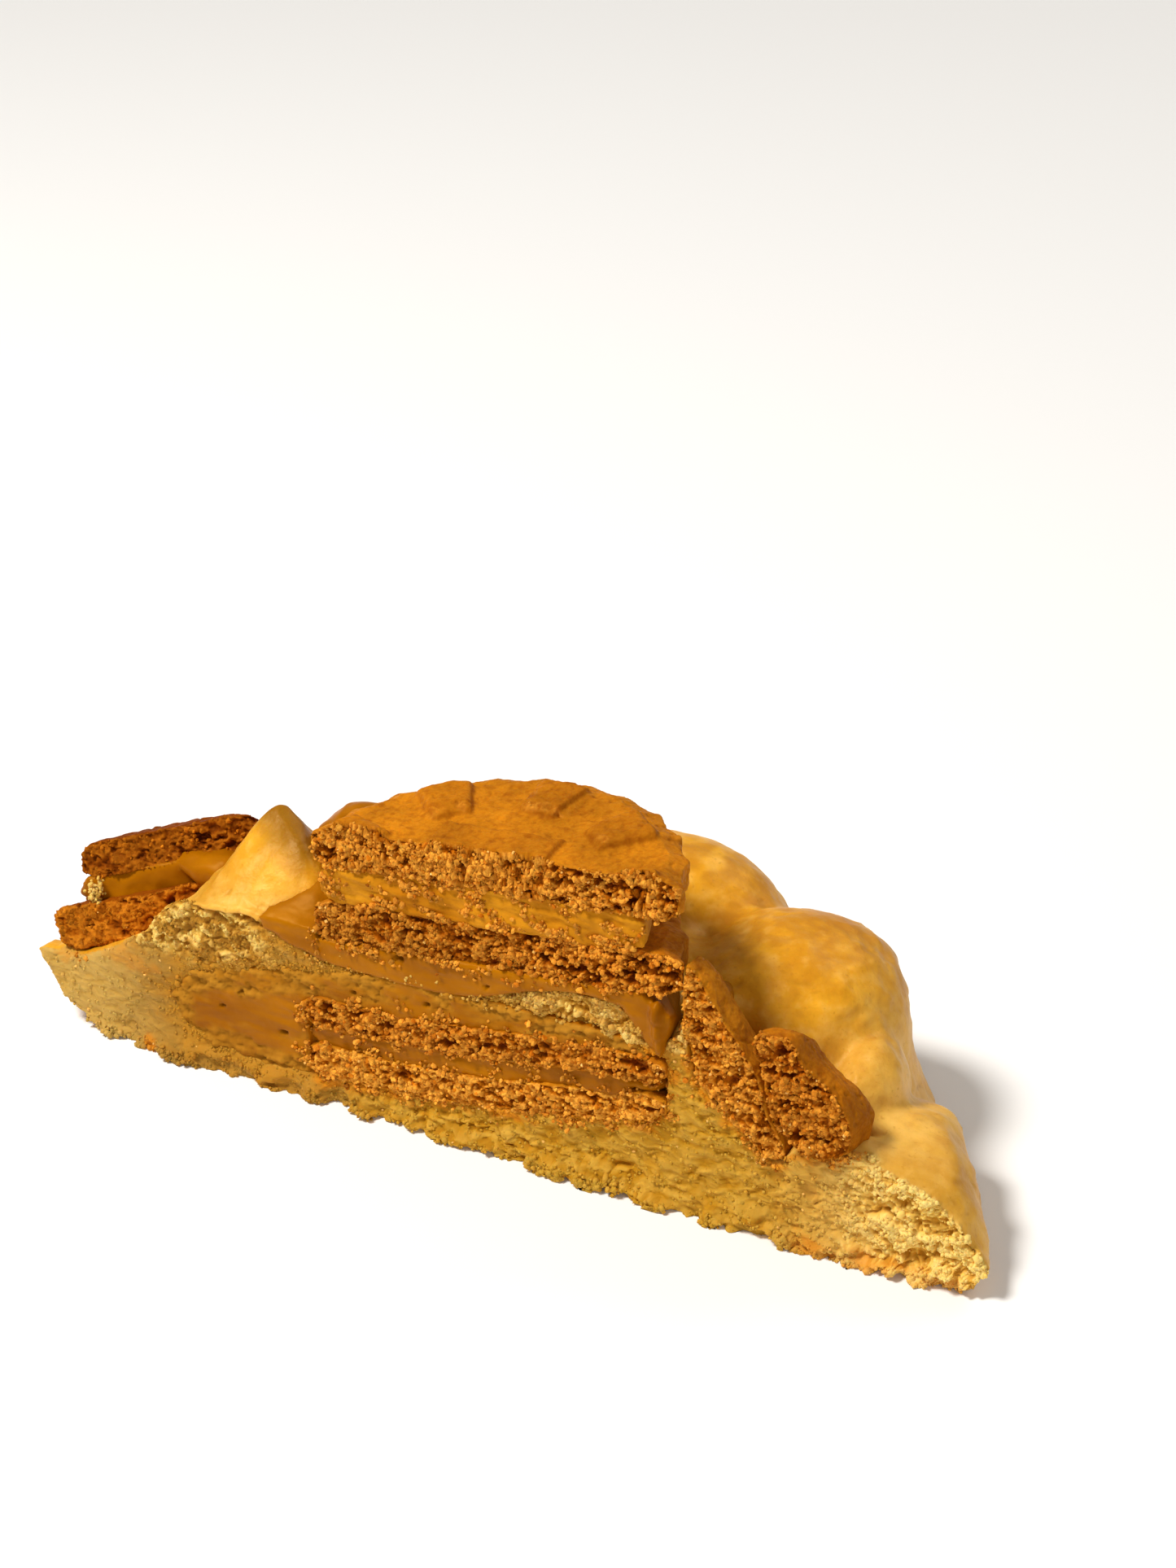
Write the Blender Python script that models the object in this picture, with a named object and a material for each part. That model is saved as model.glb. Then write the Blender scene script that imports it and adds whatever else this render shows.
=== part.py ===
"""One half of a thick stuffed cookie, cut through the middle, lying on its flat base.

The dough wraps a soft pocket of spread with a cream sandwich biscuit inside. A second
sandwich biscuit sits on top in a bed of spread, and broken biscuit is pressed into the
dough on both sides of it. The cut runs along X and faces -Y, the base lies on z = 0.

All sizes below are millimetres in a working frame whose y = 0 is the cut. The last step
moves everything so that the middle of the base is the origin.
"""

import math

import bmesh
import bpy
from mathutils import Vector, noise

MM = 0.001
GAP = 0.3  # clearance between neighbouring pieces

# Dough: a round cookie, its centre a little in front of the cut
DOUGH_CENTRE = (-1.0, -7.8)
DOUGH_RADIUS = 46.8
DOUGH_FLATTEN = 0.95  # the back is nearer than the ends
RIM_HEIGHT = 3.0  # height of the widest line of the side
LEFT_RIM_HEIGHT = 7.6  # the left end has lifted off the tray
UNDERCUT = 1.6
LEFT_UNDERCUT = 7.5
RIM_WAVES = ((0.5, 3.0, 3.6), (0.6, 7.0, 0.4))  # depth, waves in a full turn, start
RIGHT_TIP = (1.7, 0.10, 0.16)  # the right end reaches further: by how much, angle, width
LEFT_FLAKE = (5.5, 2.965, 0.05)  # a thin flake of crust sticks out at the left end
LEFT_BULGE = 1.2
BASE_CURVE = 2.3  # how sharply the side turns up from the base
DOUGH_EDGE = 2.6  # how square the side turns into the top
SIDE_STEEPNESS = 2.2  # how steeply the lobes rise from the rim
SKIN_WAVE = 0.25
DOUGH_RINGS = 19
DOUGH_SEGMENTS = 62

# Heights of the dough's top along the cut
BED_HEIGHT = 16.0  # under the left of the spread
LIP_RISE = 1.4  # where the spread thins out on the left
HUMP_RISE = 4.6  # the pale skin over the filling swells to the right
NOTCH_DEPTH = 4.0  # the groove that the spread drips into
VALLEY_HEIGHT = 8.2  # where the right-hand pieces sink in
LEFT_SLOPE = 0.8  # under the left-hand piece
LEFT_END = -49.0
BACK_FALL = 3.5

# Lobes of dough on the top: centre x, y, z, half sizes, turn in degrees, squareness
LOBES = (
    ((20.2, 16.5, 8.0), (11.6, 12.3, 13.4), 0, 2.3),
    ((34.0, 5.0, 1.0), (11.5, 12.5, 10.2), 0, 2.2),
    ((4.0, 24.0, 6.0), (13.5, 10.5, 16.0), 0, 2.2),
    ((-16.0, 21.5, 6.0), (12.5, 11.0, 15.0), 12, 2.2),
    ((-32.0, 15.0, 1.0), (11.0, 12.0, 11.0), 30, 2.2),
)
LOBE_BLEND = 1.6  # larger makes a sharper crease between lobes
LOBE_FALL = 12.0  # how fast a lobe drops away outside its outline

# A sheet of dough folded up on the left: its ridge runs back and to the right
FOLD_START = (-38.5, 0.0, 17.0)
FOLD_PEAK = (-30.0, 10.0, 25.4)
FOLD_FALL = 3.2  # steepness of its left side
FOLD_DROP = 1.9  # and of its end behind the peak
FOLD_CURVE = 0.052  # how the sheet bends down on the right

# Sandwich biscuits: the one on top, and the softer one inside the dough
BISCUIT_RADIUS = 19.0
SCALLOPS = 26
SCALLOP_DEPTH = 0.35
STACK_CENTRE = (-2.4, -4.0)
STACK_HEIGHT = 20.5  # underside of the top sandwich at its middle
STACK_SLOPE = math.tan(math.radians(7.0))
STACK_LAYERS = (4.4, 3.7, 4.3)
CREAM_INSET = 2.0
CREAM_SHIFT = -1.5  # the cream has slid a little to the left
EDGE_EASE = 0.8  # rounding of a biscuit's edge
BORDER_RISE = 0.5  # a plain border of raised bars on the upper face
BORDER_BARS = 9.0
BORDER_BAND = (0.60, 0.66, 0.86, 0.915)  # shares of the radius where it rises and ends
CORE_CENTRE = (-3.8, -4.0)
CORE_HEIGHT = 5.6
CORE_SLOPE = 0.20
CORE_BEND = 0.004  # the softened sandwich curves up at both ends
CORE_LAYERS = (3.0, 2.5, 2.9)
CORE_SQUASH = 0.25  # how much thinner its right end is

# Spread: the pocket inside and the bed on top
POCKET_CENTRE = (-12.0, -4.0)
POCKET_REACH = (25.5, 19.0, 25.0)  # to the right, to the back and to the left
POCKET_ROOF = 16.1
POCKET_ROOF_SLOPE = 0.055
POCKET_ROOF_DROP = 2.4  # over the pool at the left
POCKET_BACK_DROP = 1.2
POOL_FLOOR = 1.9
LAYER_FLOOR = 7.5  # where the pool thins to the layer above the inner sandwich
LAYER_SLOPE = 0.22
BED_CENTRE = (-5.4, -4.0)
BED_REACH = (20.8, 20.8, 18.6)
BED_TONGUE = 3.0  # how much further it runs out on the left, beside the cut
BED_LIP = 0.5  # thickness at its edge
BED_WRAP = 1.2  # how far it climbs the edge of the biscuit
BED_COLLAR = 5.5  # the thick blob behind the biscuit on the left
BED_SINK = 1.5  # its underside before it is fitted to the dough
SPREAD_WAVE = 0.5
SPREAD_EDGE = 3.0  # how square its edges are

# Broken pieces: a chunk of sandwich biscuit on the left, two chunks of biscuit on the right
CHUNK_PLACE = (-40.4, 4.8, 10.6)
CHUNK_TURN = (-20.0, -15.0, 23.0)  # leans back, rises to the right and runs to the back
CHUNK_HALF_LENGTH = 10.5
CHUNK_DEPTH = 6.5
CHUNK_LAYERS = (4.1, 2.1, 3.7)
CHUNK_SHIFTS = (-0.6, 0.3, 2.0)  # how far each layer has slid along the piece
CHUNK_TEARS = (-0.9, 0.5, -0.1)  # how far each layer's torn face lies behind the front
CHUNK_FRONT = -3.0  # the uncut front of the layers
SEAT_PLACE = (0.5, -1.4)
SEAT_GROWTH = (1.5, -1.2)
STEEP_CHUNK = (
    (16.9, 26.4), (20.8, 21.2), (24.0, 16.8), (25.2, 12.2), (26.9, 8.6),
    (25.0, 8.4), (21.6, 12.0), (18.6, 14.4), (17.0, 19.5),
)
FLAT_CHUNK = (
    (23.6, 22.0), (26.8, 22.6), (28.4, 19.8), (31.1, 18.0), (32.8, 15.6),
    (32.6, 12.2), (30.4, 11.0), (28.2, 11.0), (26.1, 12.6), (24.9, 15.8),
)
STEEP_DEPTH = 3.4
FLAT_DEPTH = 4.4
FLAT_SLANT = (1.5, -1.2)  # its back lies further right and lower than its front
SLAB_FRONT = -4.0
SLAB_BEVEL = 0.9
SLAB_WAVE = 0.3
SLAB_CLEARANCE = 0.75

# Torn crumb in the cut: depth of the relief, size of its crags
DOUGH_CRUMB = (0.55, 4.6)
BISCUIT_CRUMB = (0.60, 3.0)
CREAM_CRUMB = (0.25, 3.0)
SPREAD_CRUMB = (0.25, 6.0)
CHUNK_CRUMB = (0.70, 2.7)
FINE_CRAGS = 0.45  # size of the finer crags against the coarse ones
FINE_SHARE = 0.6
KNIFE_REACH = 14.0


def smoothstep(low, high, value):
    """0 below low, 1 above high and a soft rise between."""
    share = min(1.0, max(0.0, (value - low) / (high - low)))
    return share * share * (3.0 - 2.0 * share)


def ripple(x, y, z, size, seed):
    """Soft noise from about -1 to 1, with bumps of the given size."""
    return noise.noise(Vector((x / size + 7.31 * seed, y / size - 3.17 * seed, z / size)))


def finish(name, colour, roughness):
    """A plain baked or spread surface of one colour."""
    material = bpy.data.materials.new(name)
    material.use_nodes = True
    shader = material.node_tree.nodes["Principled BSDF"]
    shader.inputs["Base Color"].default_value = (*colour, 1.0)
    shader.inputs["Roughness"].default_value = roughness
    shader.inputs["Metallic"].default_value = 0.0
    return material


def add_object(name, bm, material, root):
    """Makes an object in metres from a mesh in millimetres."""
    bmesh.ops.recalc_face_normals(bm, faces=bm.faces)
    bmesh.ops.scale(bm, vec=(MM, MM, MM), verts=bm.verts)
    mesh = bpy.data.meshes.new(name)
    bm.to_mesh(mesh)
    bm.free()
    mesh.shade_smooth()
    mesh.set_sharp_from_angle(angle=math.radians(40))
    if material:
        mesh.materials.append(material)
    piece = bpy.data.objects.new(name, mesh)
    bpy.context.scene.collection.objects.link(piece)
    piece.parent = root
    return piece


def hide_cutter(piece):
    """A cutter shapes its neighbours and isn't a piece of the cookie."""
    piece.hide_render = True
    piece.display_type = "WIRE"
    return piece


def cut(piece, *cutters):
    """Takes the shape of each cutter out of a piece."""
    for cutter in cutters:
        boolean = piece.modifiers.new("cut by " + cutter.name, "BOOLEAN")
        boolean.operation = "DIFFERENCE"
        boolean.solver = "EXACT"
        boolean.object = cutter


def shares(count, crowd=1.0):
    """Ring places from near the middle to the edge, crowded towards the edge when crowd is over 1."""
    return [1.0 - (1.0 - i / count) ** crowd for i in range(1, count + 1)]


def pillow(centre, outline, top, bottom, top_rings, bottom_rings, segments, wall=False):
    """A round flat solid over the half plane behind its centre.

    outline gives the radius at an angle, top and bottom give the height at a point and at its
    share of the way to the edge. Both surfaces meet in the last ring, or an upright wall
    joins them.
    """
    bm = bmesh.new()
    angles = [math.pi * i / segments for i in range(segments + 1)]

    def ring(share, surface):
        points = []
        for angle in angles:
            radius = share * outline(angle)
            x = centre[0] + radius * math.cos(angle)
            y = centre[1] + radius * math.sin(angle)
            points.append(bm.verts.new((x, y, surface(x, y, share))))
        return points

    def skin(middle, rings):
        for i in range(segments):
            bm.faces.new((middle, rings[0][i], rings[0][i + 1]))
        for inner, outer in zip(rings, rings[1:]):
            for i in range(segments):
                bm.faces.new((inner[i], outer[i], outer[i + 1], inner[i + 1]))

    edge = ring(1.0, top)
    upper = [ring(share, top) for share in top_rings[:-1]] + [edge]
    lower = [ring(share, bottom) for share in bottom_rings[:-1]]
    lower.append(ring(1.0, bottom) if wall else edge)
    crown = bm.verts.new((*centre, top(*centre, 0.0)))
    foot = bm.verts.new((*centre, bottom(*centre, 0.0)))
    skin(crown, upper)
    skin(foot, lower)
    if wall:
        for i in range(segments):
            bm.faces.new((upper[-1][i], lower[-1][i], lower[-1][i + 1], upper[-1][i + 1]))
    across = upper + lower[::-1] if wall else upper + lower[-2::-1]
    bm.faces.new([r[0] for r in across] + [foot] + [r[-1] for r in across[::-1]] + [crown])
    bmesh.ops.triangulate(bm, faces=[f for f in bm.faces if len(f.verts) == 4])
    return bm


def round_edge(share, power):
    """1 in the middle and 0 at the edge, falling later the higher the power."""
    return max(0.0, 1.0 - share**power) ** (1.0 / power)


def bump(angle, height, place, width):
    """One soft bump in a round outline."""
    return height * math.exp(-(((angle - place) / width) ** 2))


def knife(name, box, crumb, seed, step, root, stretch=1.0, offset=0.0):
    """A block in front of the cut. Its back is as rough as the torn crumb it leaves behind."""
    (x_low, x_high), (z_low, z_high) = box
    relief, grain = crumb
    columns = round((x_high - x_low) / step)
    rows = round((z_high - z_low) / step)
    bm = bmesh.new()

    def sheet(depth):
        grid = []
        for row in range(rows + 1):
            z = z_low + (z_high - z_low) * row / rows
            line = []
            for column in range(columns + 1):
                x = x_low + (x_high - x_low) * column / columns
                line.append(bm.verts.new((x, depth(x, z), z)))
            grid.append(line)
        return grid

    def torn(x, z):
        coarse = ripple(x / stretch, 0.0, z, grain, seed)
        fine = ripple(x / stretch, grain, z, grain * FINE_CRAGS, seed + 3)
        return offset + relief * (coarse + FINE_SHARE * fine)

    back = sheet(torn)
    for low, high in zip(back, back[1:]):
        for i in range(columns):
            bm.faces.new((low[i], low[i + 1], high[i + 1], high[i]))
    border = back[0] + [row[-1] for row in back[1:]] + back[-1][-2::-1] + [row[0] for row in back[-2:0:-1]]
    front = [bm.verts.new((v.co.x, -KNIFE_REACH, v.co.z)) for v in border]
    for i in range(len(border)):
        j = (i + 1) % len(border)
        bm.faces.new((border[i], border[j], front[j], front[i]))
    bm.faces.new(front)
    return hide_cutter(add_object(name, bm, None, root))


# ---- Dough ---------------------------------------------------------------------------


def lobe_height(lobe, x, y):
    """Height of one lobe of dough, falling away fast outside its outline."""
    (cx, cy, cz), (rx, ry, rz), turn, power = lobe
    turn = math.radians(turn)
    along = (x - cx) * math.cos(turn) + (y - cy) * math.sin(turn)
    across = (y - cy) * math.cos(turn) - (x - cx) * math.sin(turn)
    spread = abs(along / rx) ** power + abs(across / ry) ** power
    if spread >= 1.0:
        return cz - LOBE_FALL * (spread - 1.0)
    return cz + rz * (1.0 - spread) ** (1.0 / power)


def fold_height(x, y):
    """A ridge with a gently falling sheet on its right and a steep side on its left."""
    run = Vector((FOLD_PEAK[0] - FOLD_START[0], FOLD_PEAK[1] - FOLD_START[1]))
    length = run.length
    run.normalize()
    along = (x - FOLD_START[0]) * run.x + (y - FOLD_START[1]) * run.y
    across = (x - FOLD_START[0]) * run.y - (y - FOLD_START[1]) * run.x
    ridge = FOLD_START[2] + (FOLD_PEAK[2] - FOLD_START[2]) * along / length
    ridge -= FOLD_DROP * max(0.0, along - length)
    if across < 0.0:
        return ridge + FOLD_FALL * across
    return ridge - FOLD_CURVE * across * across


def bed_height(x):
    """The dough under the spread along the cut, with the hump of pale skin at the right."""
    lip = LIP_RISE * (1.0 - smoothstep(-27.0, -20.0, x))
    hump = HUMP_RISE * smoothstep(-9.0, 8.0, x)
    notch = NOTCH_DEPTH * smoothstep(10.6, 13.6, x) * (1.0 - smoothstep(14.2, 16.0, x))
    return BED_HEIGHT + lip + hump - notch


def blend(heights):
    """The highest of several heights, with the creases between them slightly filled."""
    peak = max(heights)
    return peak + math.log(sum(math.exp(LOBE_BLEND * (h - peak)) for h in heights)) / LOBE_BLEND


def dough_core(x, y):
    """Height of the dough's upper surface before the lobes rise from it."""
    right = smoothstep(15.5, 27.0, x)
    left = 1.0 - smoothstep(-40.5, -33.0, x)
    ledge = LEFT_RIM_HEIGHT + LEFT_SLOPE * max(0.0, x - LEFT_END)
    base = bed_height(x) * (1.0 - right) + VALLEY_HEIGHT * right
    base = base * (1.0 - left) + ledge * left
    return base - BACK_FALL * smoothstep(10.0, 34.0, y)


def rising(x, y):
    """Heights of the fold and of the lobes at a point."""
    return [fold_height(x, y)] + [lobe_height(lobe, x, y) for lobe in LOBES]


def dough_top(x, y):
    """Height of the dough's upper surface away from the rim."""
    return blend([dough_core(x, y)] + rising(x, y))


def leftness(angle):
    """0 round most of the cookie, 1 at its lifted left end."""
    return smoothstep(2.35, 3.05, angle)


def dough_radius(angle):
    """Outline of the cookie from above."""
    oval = 1.0 / math.hypot(math.cos(angle), math.sin(angle) / DOUGH_FLATTEN)
    waves = sum(depth * math.sin(count * angle + start) for depth, count, start in RIM_WAVES)
    ends = bump(angle, *RIGHT_TIP) + bump(angle, *LEFT_FLAKE) + LEFT_BULGE * leftness(angle)
    return DOUGH_RADIUS * oval + waves + ends


def dough_angle(x, y):
    """Which way a point lies from the cookie's middle."""
    return math.atan2(max(0.0, y - DOUGH_CENTRE[1]), x - DOUGH_CENTRE[0])


def rim_height(angle):
    """Height of the widest line of the side."""
    return RIM_HEIGHT + (LEFT_RIM_HEIGHT - RIM_HEIGHT) * leftness(angle)


def dough_crust(x, y, share):
    """Upper surface of the dough, from its middle over the lobes and down to the rim."""
    rim = rim_height(dough_angle(x, y))
    rise = round_edge(share, DOUGH_EDGE)
    dome = rim + max(dough_core(x, y) - rim, 0.5) * rise
    height = blend([dome] + rising(x, y))
    wave = SKIN_WAVE * ripple(x, y, 0.0, 5.0, 1) * rise
    return rim + (height - rim) * min(1.0, SIDE_STEEPNESS * rise) + wave


def dough_base(x, y, share):
    """Flat underside that turns up to the rim."""
    angle = dough_angle(x, y)
    inset = (UNDERCUT + (LEFT_UNDERCUT - UNDERCUT) * leftness(angle)) / DOUGH_RADIUS
    lift = max(0.0, (share - (1.0 - inset)) / inset)
    return rim_height(angle) * lift**BASE_CURVE


def make_dough(name, lift, material, root):
    """The dough without the hollows that the other pieces leave in it."""
    top_rings = shares(DOUGH_RINGS, 1.25)
    base_rings = [0.8, 0.875, 0.93, 0.966, 0.985, 1.0]
    bm = pillow(DOUGH_CENTRE, dough_radius, dough_crust, dough_base, top_rings, base_rings, DOUGH_SEGMENTS)
    bmesh.ops.translate(bm, vec=(0.0, 0.0, lift), verts=bm.verts)
    return add_object(name, bm, material, root)


# ---- Sandwich biscuits ---------------------------------------------------------------


def biscuit_outline(angle):
    return BISCUIT_RADIUS + SCALLOP_DEPTH * math.cos(SCALLOPS * angle)


def cream_outline(angle):
    return BISCUIT_RADIUS - CREAM_INSET


def seat_outline(angle):
    return biscuit_outline(angle) + GAP


def stack_floor(x, y):
    """Underside of the top sandwich."""
    return STACK_HEIGHT + STACK_SLOPE * (x - STACK_CENTRE[0])


def core_floor(x, y):
    """Underside of the sandwich inside, which has bent as it softened."""
    return CORE_HEIGHT + CORE_SLOPE * x + CORE_BEND * x * x


def even(x):
    """The sandwich on top has the same thickness everywhere."""
    return 1.0


def squashed(x):
    """The sandwich inside gets thinner towards its right end."""
    return 1.0 - CORE_SQUASH * smoothstep(5.0, 14.5, x)


def layer(floor, low, high, relief=None, taper=even):
    """Top and bottom of one flat layer that lies between two heights over a floor."""

    def eased(share):
        return EDGE_EASE * smoothstep(1.0 - 2.0 * EDGE_EASE / BISCUIT_RADIUS, 1.0, share)

    def top(x, y, share):
        raised = relief(x, y, share) if relief else 0.0
        return floor(x, y) + (high - eased(share)) * taper(x) + raised

    def bottom(x, y, share):
        return floor(x, y) + (low + eased(share)) * taper(x)

    return top, bottom


def border(x, y, share):
    """Raised bars round the upper face of the biscuit."""
    angle = math.atan2(y - STACK_CENTRE[1], x - STACK_CENTRE[0])
    start, full, drop, end = BORDER_BAND
    band = smoothstep(start, full, share) * (1.0 - smoothstep(drop, end, share))
    return BORDER_RISE * band * smoothstep(-0.1, 0.3, math.sin(BORDER_BARS * angle + 0.5))


def make_sandwich(names, centre, floor, layers, finishes, root, relief=None, taper=even):
    """Two biscuits with cream between them, each its own solid."""
    pieces = []
    low = 0.0
    plain_rings = [0.5, 0.915, 1.0]
    for number, (name, thickness, material) in enumerate(zip(names, layers, finishes)):
        is_cream = number == 1
        is_upper = number == 2
        outline = cream_outline if is_cream else biscuit_outline
        middle = (centre[0] + CREAM_SHIFT, centre[1]) if is_cream else centre
        raised = relief if is_upper else None
        top, bottom = layer(floor, low, low + thickness - GAP, raised, taper)
        rings = [0.5, *BORDER_BAND, 1.0] if raised else plain_rings
        segments = 24 if is_cream else 39
        bm = pillow(middle, outline, top, bottom, rings, plain_rings, segments, wall=True)
        pieces.append(add_object(name, bm, material, root))
        low += thickness
    return pieces


def make_seat(name, centre, floor, layers, root, headroom=0.0, taper=even):
    """The space a sandwich takes, with clearance, cut out of what surrounds it."""

    def top(x, y, share):
        return floor(x, y) + sum(layers) * taper(x) + headroom

    def bottom(x, y, share):
        return floor(x, y) - GAP

    rings = [0.6, 1.0]
    bm = pillow(centre, seat_outline, top, bottom, rings, rings, 39, wall=True)
    return hide_cutter(add_object(name, bm, None, root))


# ---- Spread --------------------------------------------------------------------------


def three_way(reach, extra=0.0, tongue=0.0):
    """An outline that reaches a different way to the right, to the back and to the left."""
    right, back, left = reach

    def outline(angle):
        side = right if angle < math.pi / 2.0 else left
        across = math.cos(angle) / (side + extra)
        along = math.sin(angle) / (back + extra)
        wave = SPREAD_WAVE * math.sin(5.0 * angle)
        return 1.0 / math.hypot(across, along) + wave + bump(angle, tongue, 2.98, 0.13)

    return outline


def pocket_surfaces(extra):
    """The pool of spread left of the inner sandwich and the thin layer over it."""

    def roof(x):
        drop = POCKET_ROOF_DROP * (1.0 - smoothstep(-34.0, -12.0, x))
        return POCKET_ROOF + POCKET_ROOF_SLOPE * x - drop

    def ground(x):
        step = (LAYER_FLOOR - POOL_FLOOR) * smoothstep(-24.5, -17.5, x)
        return POOL_FLOOR + step + LAYER_SLOPE * max(0.0, x + 18.0)

    def top(x, y, share):
        middle = (roof(x) + ground(x)) / 2.0
        fall = POCKET_BACK_DROP * smoothstep(2.0, 16.0, y)
        return middle + (roof(x) - middle + extra - fall) * round_edge(share, SPREAD_EDGE)

    def bottom(x, y, share):
        middle = (roof(x) + ground(x)) / 2.0
        return middle - (middle - ground(x) + extra) * round_edge(share, SPREAD_EDGE)

    return top, bottom


def make_pocket(name, extra, material, root):
    """The filling inside, or its hollow when it has extra size."""
    top, bottom = pocket_surfaces(extra)
    rings = shares(6, 1.5)
    bm = pillow(POCKET_CENTRE, three_way(POCKET_REACH, extra), top, bottom, rings, rings, 28)
    return add_object(name, bm, material, root)


def bed_top(x, y, share):
    """Upper surface of the bed of spread, before the biscuit presses into it."""
    collar = BED_COLLAR * smoothstep(3.0, 9.0, y) * (1.0 - smoothstep(-16.0, -6.0, x))
    crown = stack_floor(x, y) + BED_WRAP + collar
    rim = dough_top(x, y) + GAP + BED_LIP
    return rim + max(BED_LIP, crown - rim) * round_edge(share, SPREAD_EDGE)


def bed_bottom(x, y, share):
    """Its underside lies in the dough until the dough is cut from it."""
    return dough_top(x, y) - BED_SINK


def make_bed(material, root):
    """The bed of spread between the dough and the sandwich on top."""
    outline = three_way(BED_REACH, tongue=BED_TONGUE)
    bm = pillow(BED_CENTRE, outline, bed_top, bed_bottom, shares(8, 1.4), [0.5, 0.95, 1.0], 42)
    return add_object("top_spread", bm, material, root)


# ---- Broken pieces -------------------------------------------------------------------


def chunk_outline(longer=0.0, deeper=0.0):
    """Half an oval, from the torn face to the baked edge at the back."""

    def outline(angle):
        along = math.cos(angle) / (CHUNK_HALF_LENGTH + longer)
        across = math.sin(angle) / (CHUNK_DEPTH + deeper)
        return 1.0 / math.hypot(along, across)

    return outline


def flat_floor(x, y):
    return 0.0


def seat_roof(x, y, share):
    return 30.0


def seat_ground(x, y, share):
    return -GAP


def make_left_chunk(finishes, root):
    """A broken edge of a sandwich biscuit. Its torn face looks to the front. Returns its seat."""
    place = bpy.data.objects.new("left_chunk", None)
    bpy.context.scene.collection.objects.link(place)
    place.parent = root
    place.location = Vector(CHUNK_PLACE) * MM
    place.rotation_euler = [math.radians(degrees) for degrees in CHUNK_TURN]
    names = ("left_biscuit_lower", "left_cream", "left_biscuit_upper")
    rings = [0.5, 0.9, 1.0]
    low = 0.0
    for number, (name, thickness, material) in enumerate(zip(names, CHUNK_LAYERS, finishes)):
        is_cream = number == 1
        outline = chunk_outline(-0.6, -0.6) if is_cream else chunk_outline()
        middle = (CHUNK_SHIFTS[number], CHUNK_FRONT)
        top, bottom = layer(flat_floor, low, low + thickness - GAP)
        bm = pillow(middle, outline, top, bottom, rings, rings, 22, wall=True)
        piece = add_object(name, bm, material, place)
        box = ((-16.0, 18.0), (low - 2.0, low + thickness + 2.0))
        tear = CHUNK_TEARS[number]
        cut(piece, knife(name + "_tear", box, CHUNK_CRUMB, 20 + number, 1.5, place, 2.0, tear))
        low += thickness
    outline = chunk_outline(*SEAT_GROWTH)
    seat = pillow(SEAT_PLACE, outline, seat_roof, seat_ground, [1.0], [1.0], 30, wall=True)
    return hide_cutter(add_object("left_chunk_seat", seat, None, place))


def make_slab(name, corners, depth, slant, grow, material, root):
    """A flat broken piece of biscuit: its outline in the cut, drawn back into the dough.

    One with a material gets worn edges and a wavy surface. One without is a larger cutter.
    """
    middle_x = sum(x for x, _ in corners) / len(corners)
    middle_z = sum(z for _, z in corners) / len(corners)
    bm = bmesh.new()
    front = []
    for x, z in corners:
        away = Vector((x - middle_x, 0.0, z - middle_z)).normalized()
        front.append(bm.verts.new((x + away.x * grow, SLAB_FRONT, z + away.z * grow)))
    face = bm.faces.new(front)
    drawn = bmesh.ops.extrude_face_region(bm, geom=[face])
    back = [v for v in drawn["geom"] if isinstance(v, bmesh.types.BMVert)]
    for vertex in back:
        vertex.co.y = depth + grow
        vertex.co.x += slant[0]
        vertex.co.z += slant[1]
    if not material:
        return hide_cutter(add_object(name, bm, None, root))
    bmesh.ops.recalc_face_normals(bm, faces=bm.faces)
    edges = bm.edges[:]
    bmesh.ops.bevel(bm, geom=edges, offset=SLAB_BEVEL, segments=2, profile=0.6, affect="EDGES")
    bmesh.ops.triangulate(bm, faces=[f for f in bm.faces if f.calc_area() > 8.0])
    long_edges = [e for e in bm.edges if e.calc_length() > 3.4]
    bmesh.ops.subdivide_edges(bm, edges=long_edges, cuts=2, use_grid_fill=True)
    for vertex in bm.verts:
        vertex.co += vertex.normal * SLAB_WAVE * ripple(*vertex.co, 2.8, 5)
    return add_object(name, bm, material, root)


# ---- The whole cookie ----------------------------------------------------------------


def centre_on_base(root):
    """Moves the cookie so that the middle of its base is the origin."""
    bpy.context.view_layer.update()
    graph = bpy.context.evaluated_depsgraph_get()
    corners = []
    for piece in bpy.context.scene.objects:
        if piece.type == "MESH" and not piece.hide_render:
            evaluated = piece.evaluated_get(graph)
            corners += [evaluated.matrix_world @ Vector(corner) for corner in evaluated.bound_box]
    for axis in (0, 1):
        values = [corner[axis] for corner in corners]
        root.location[axis] = -(min(values) + max(values)) / 2.0


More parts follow.
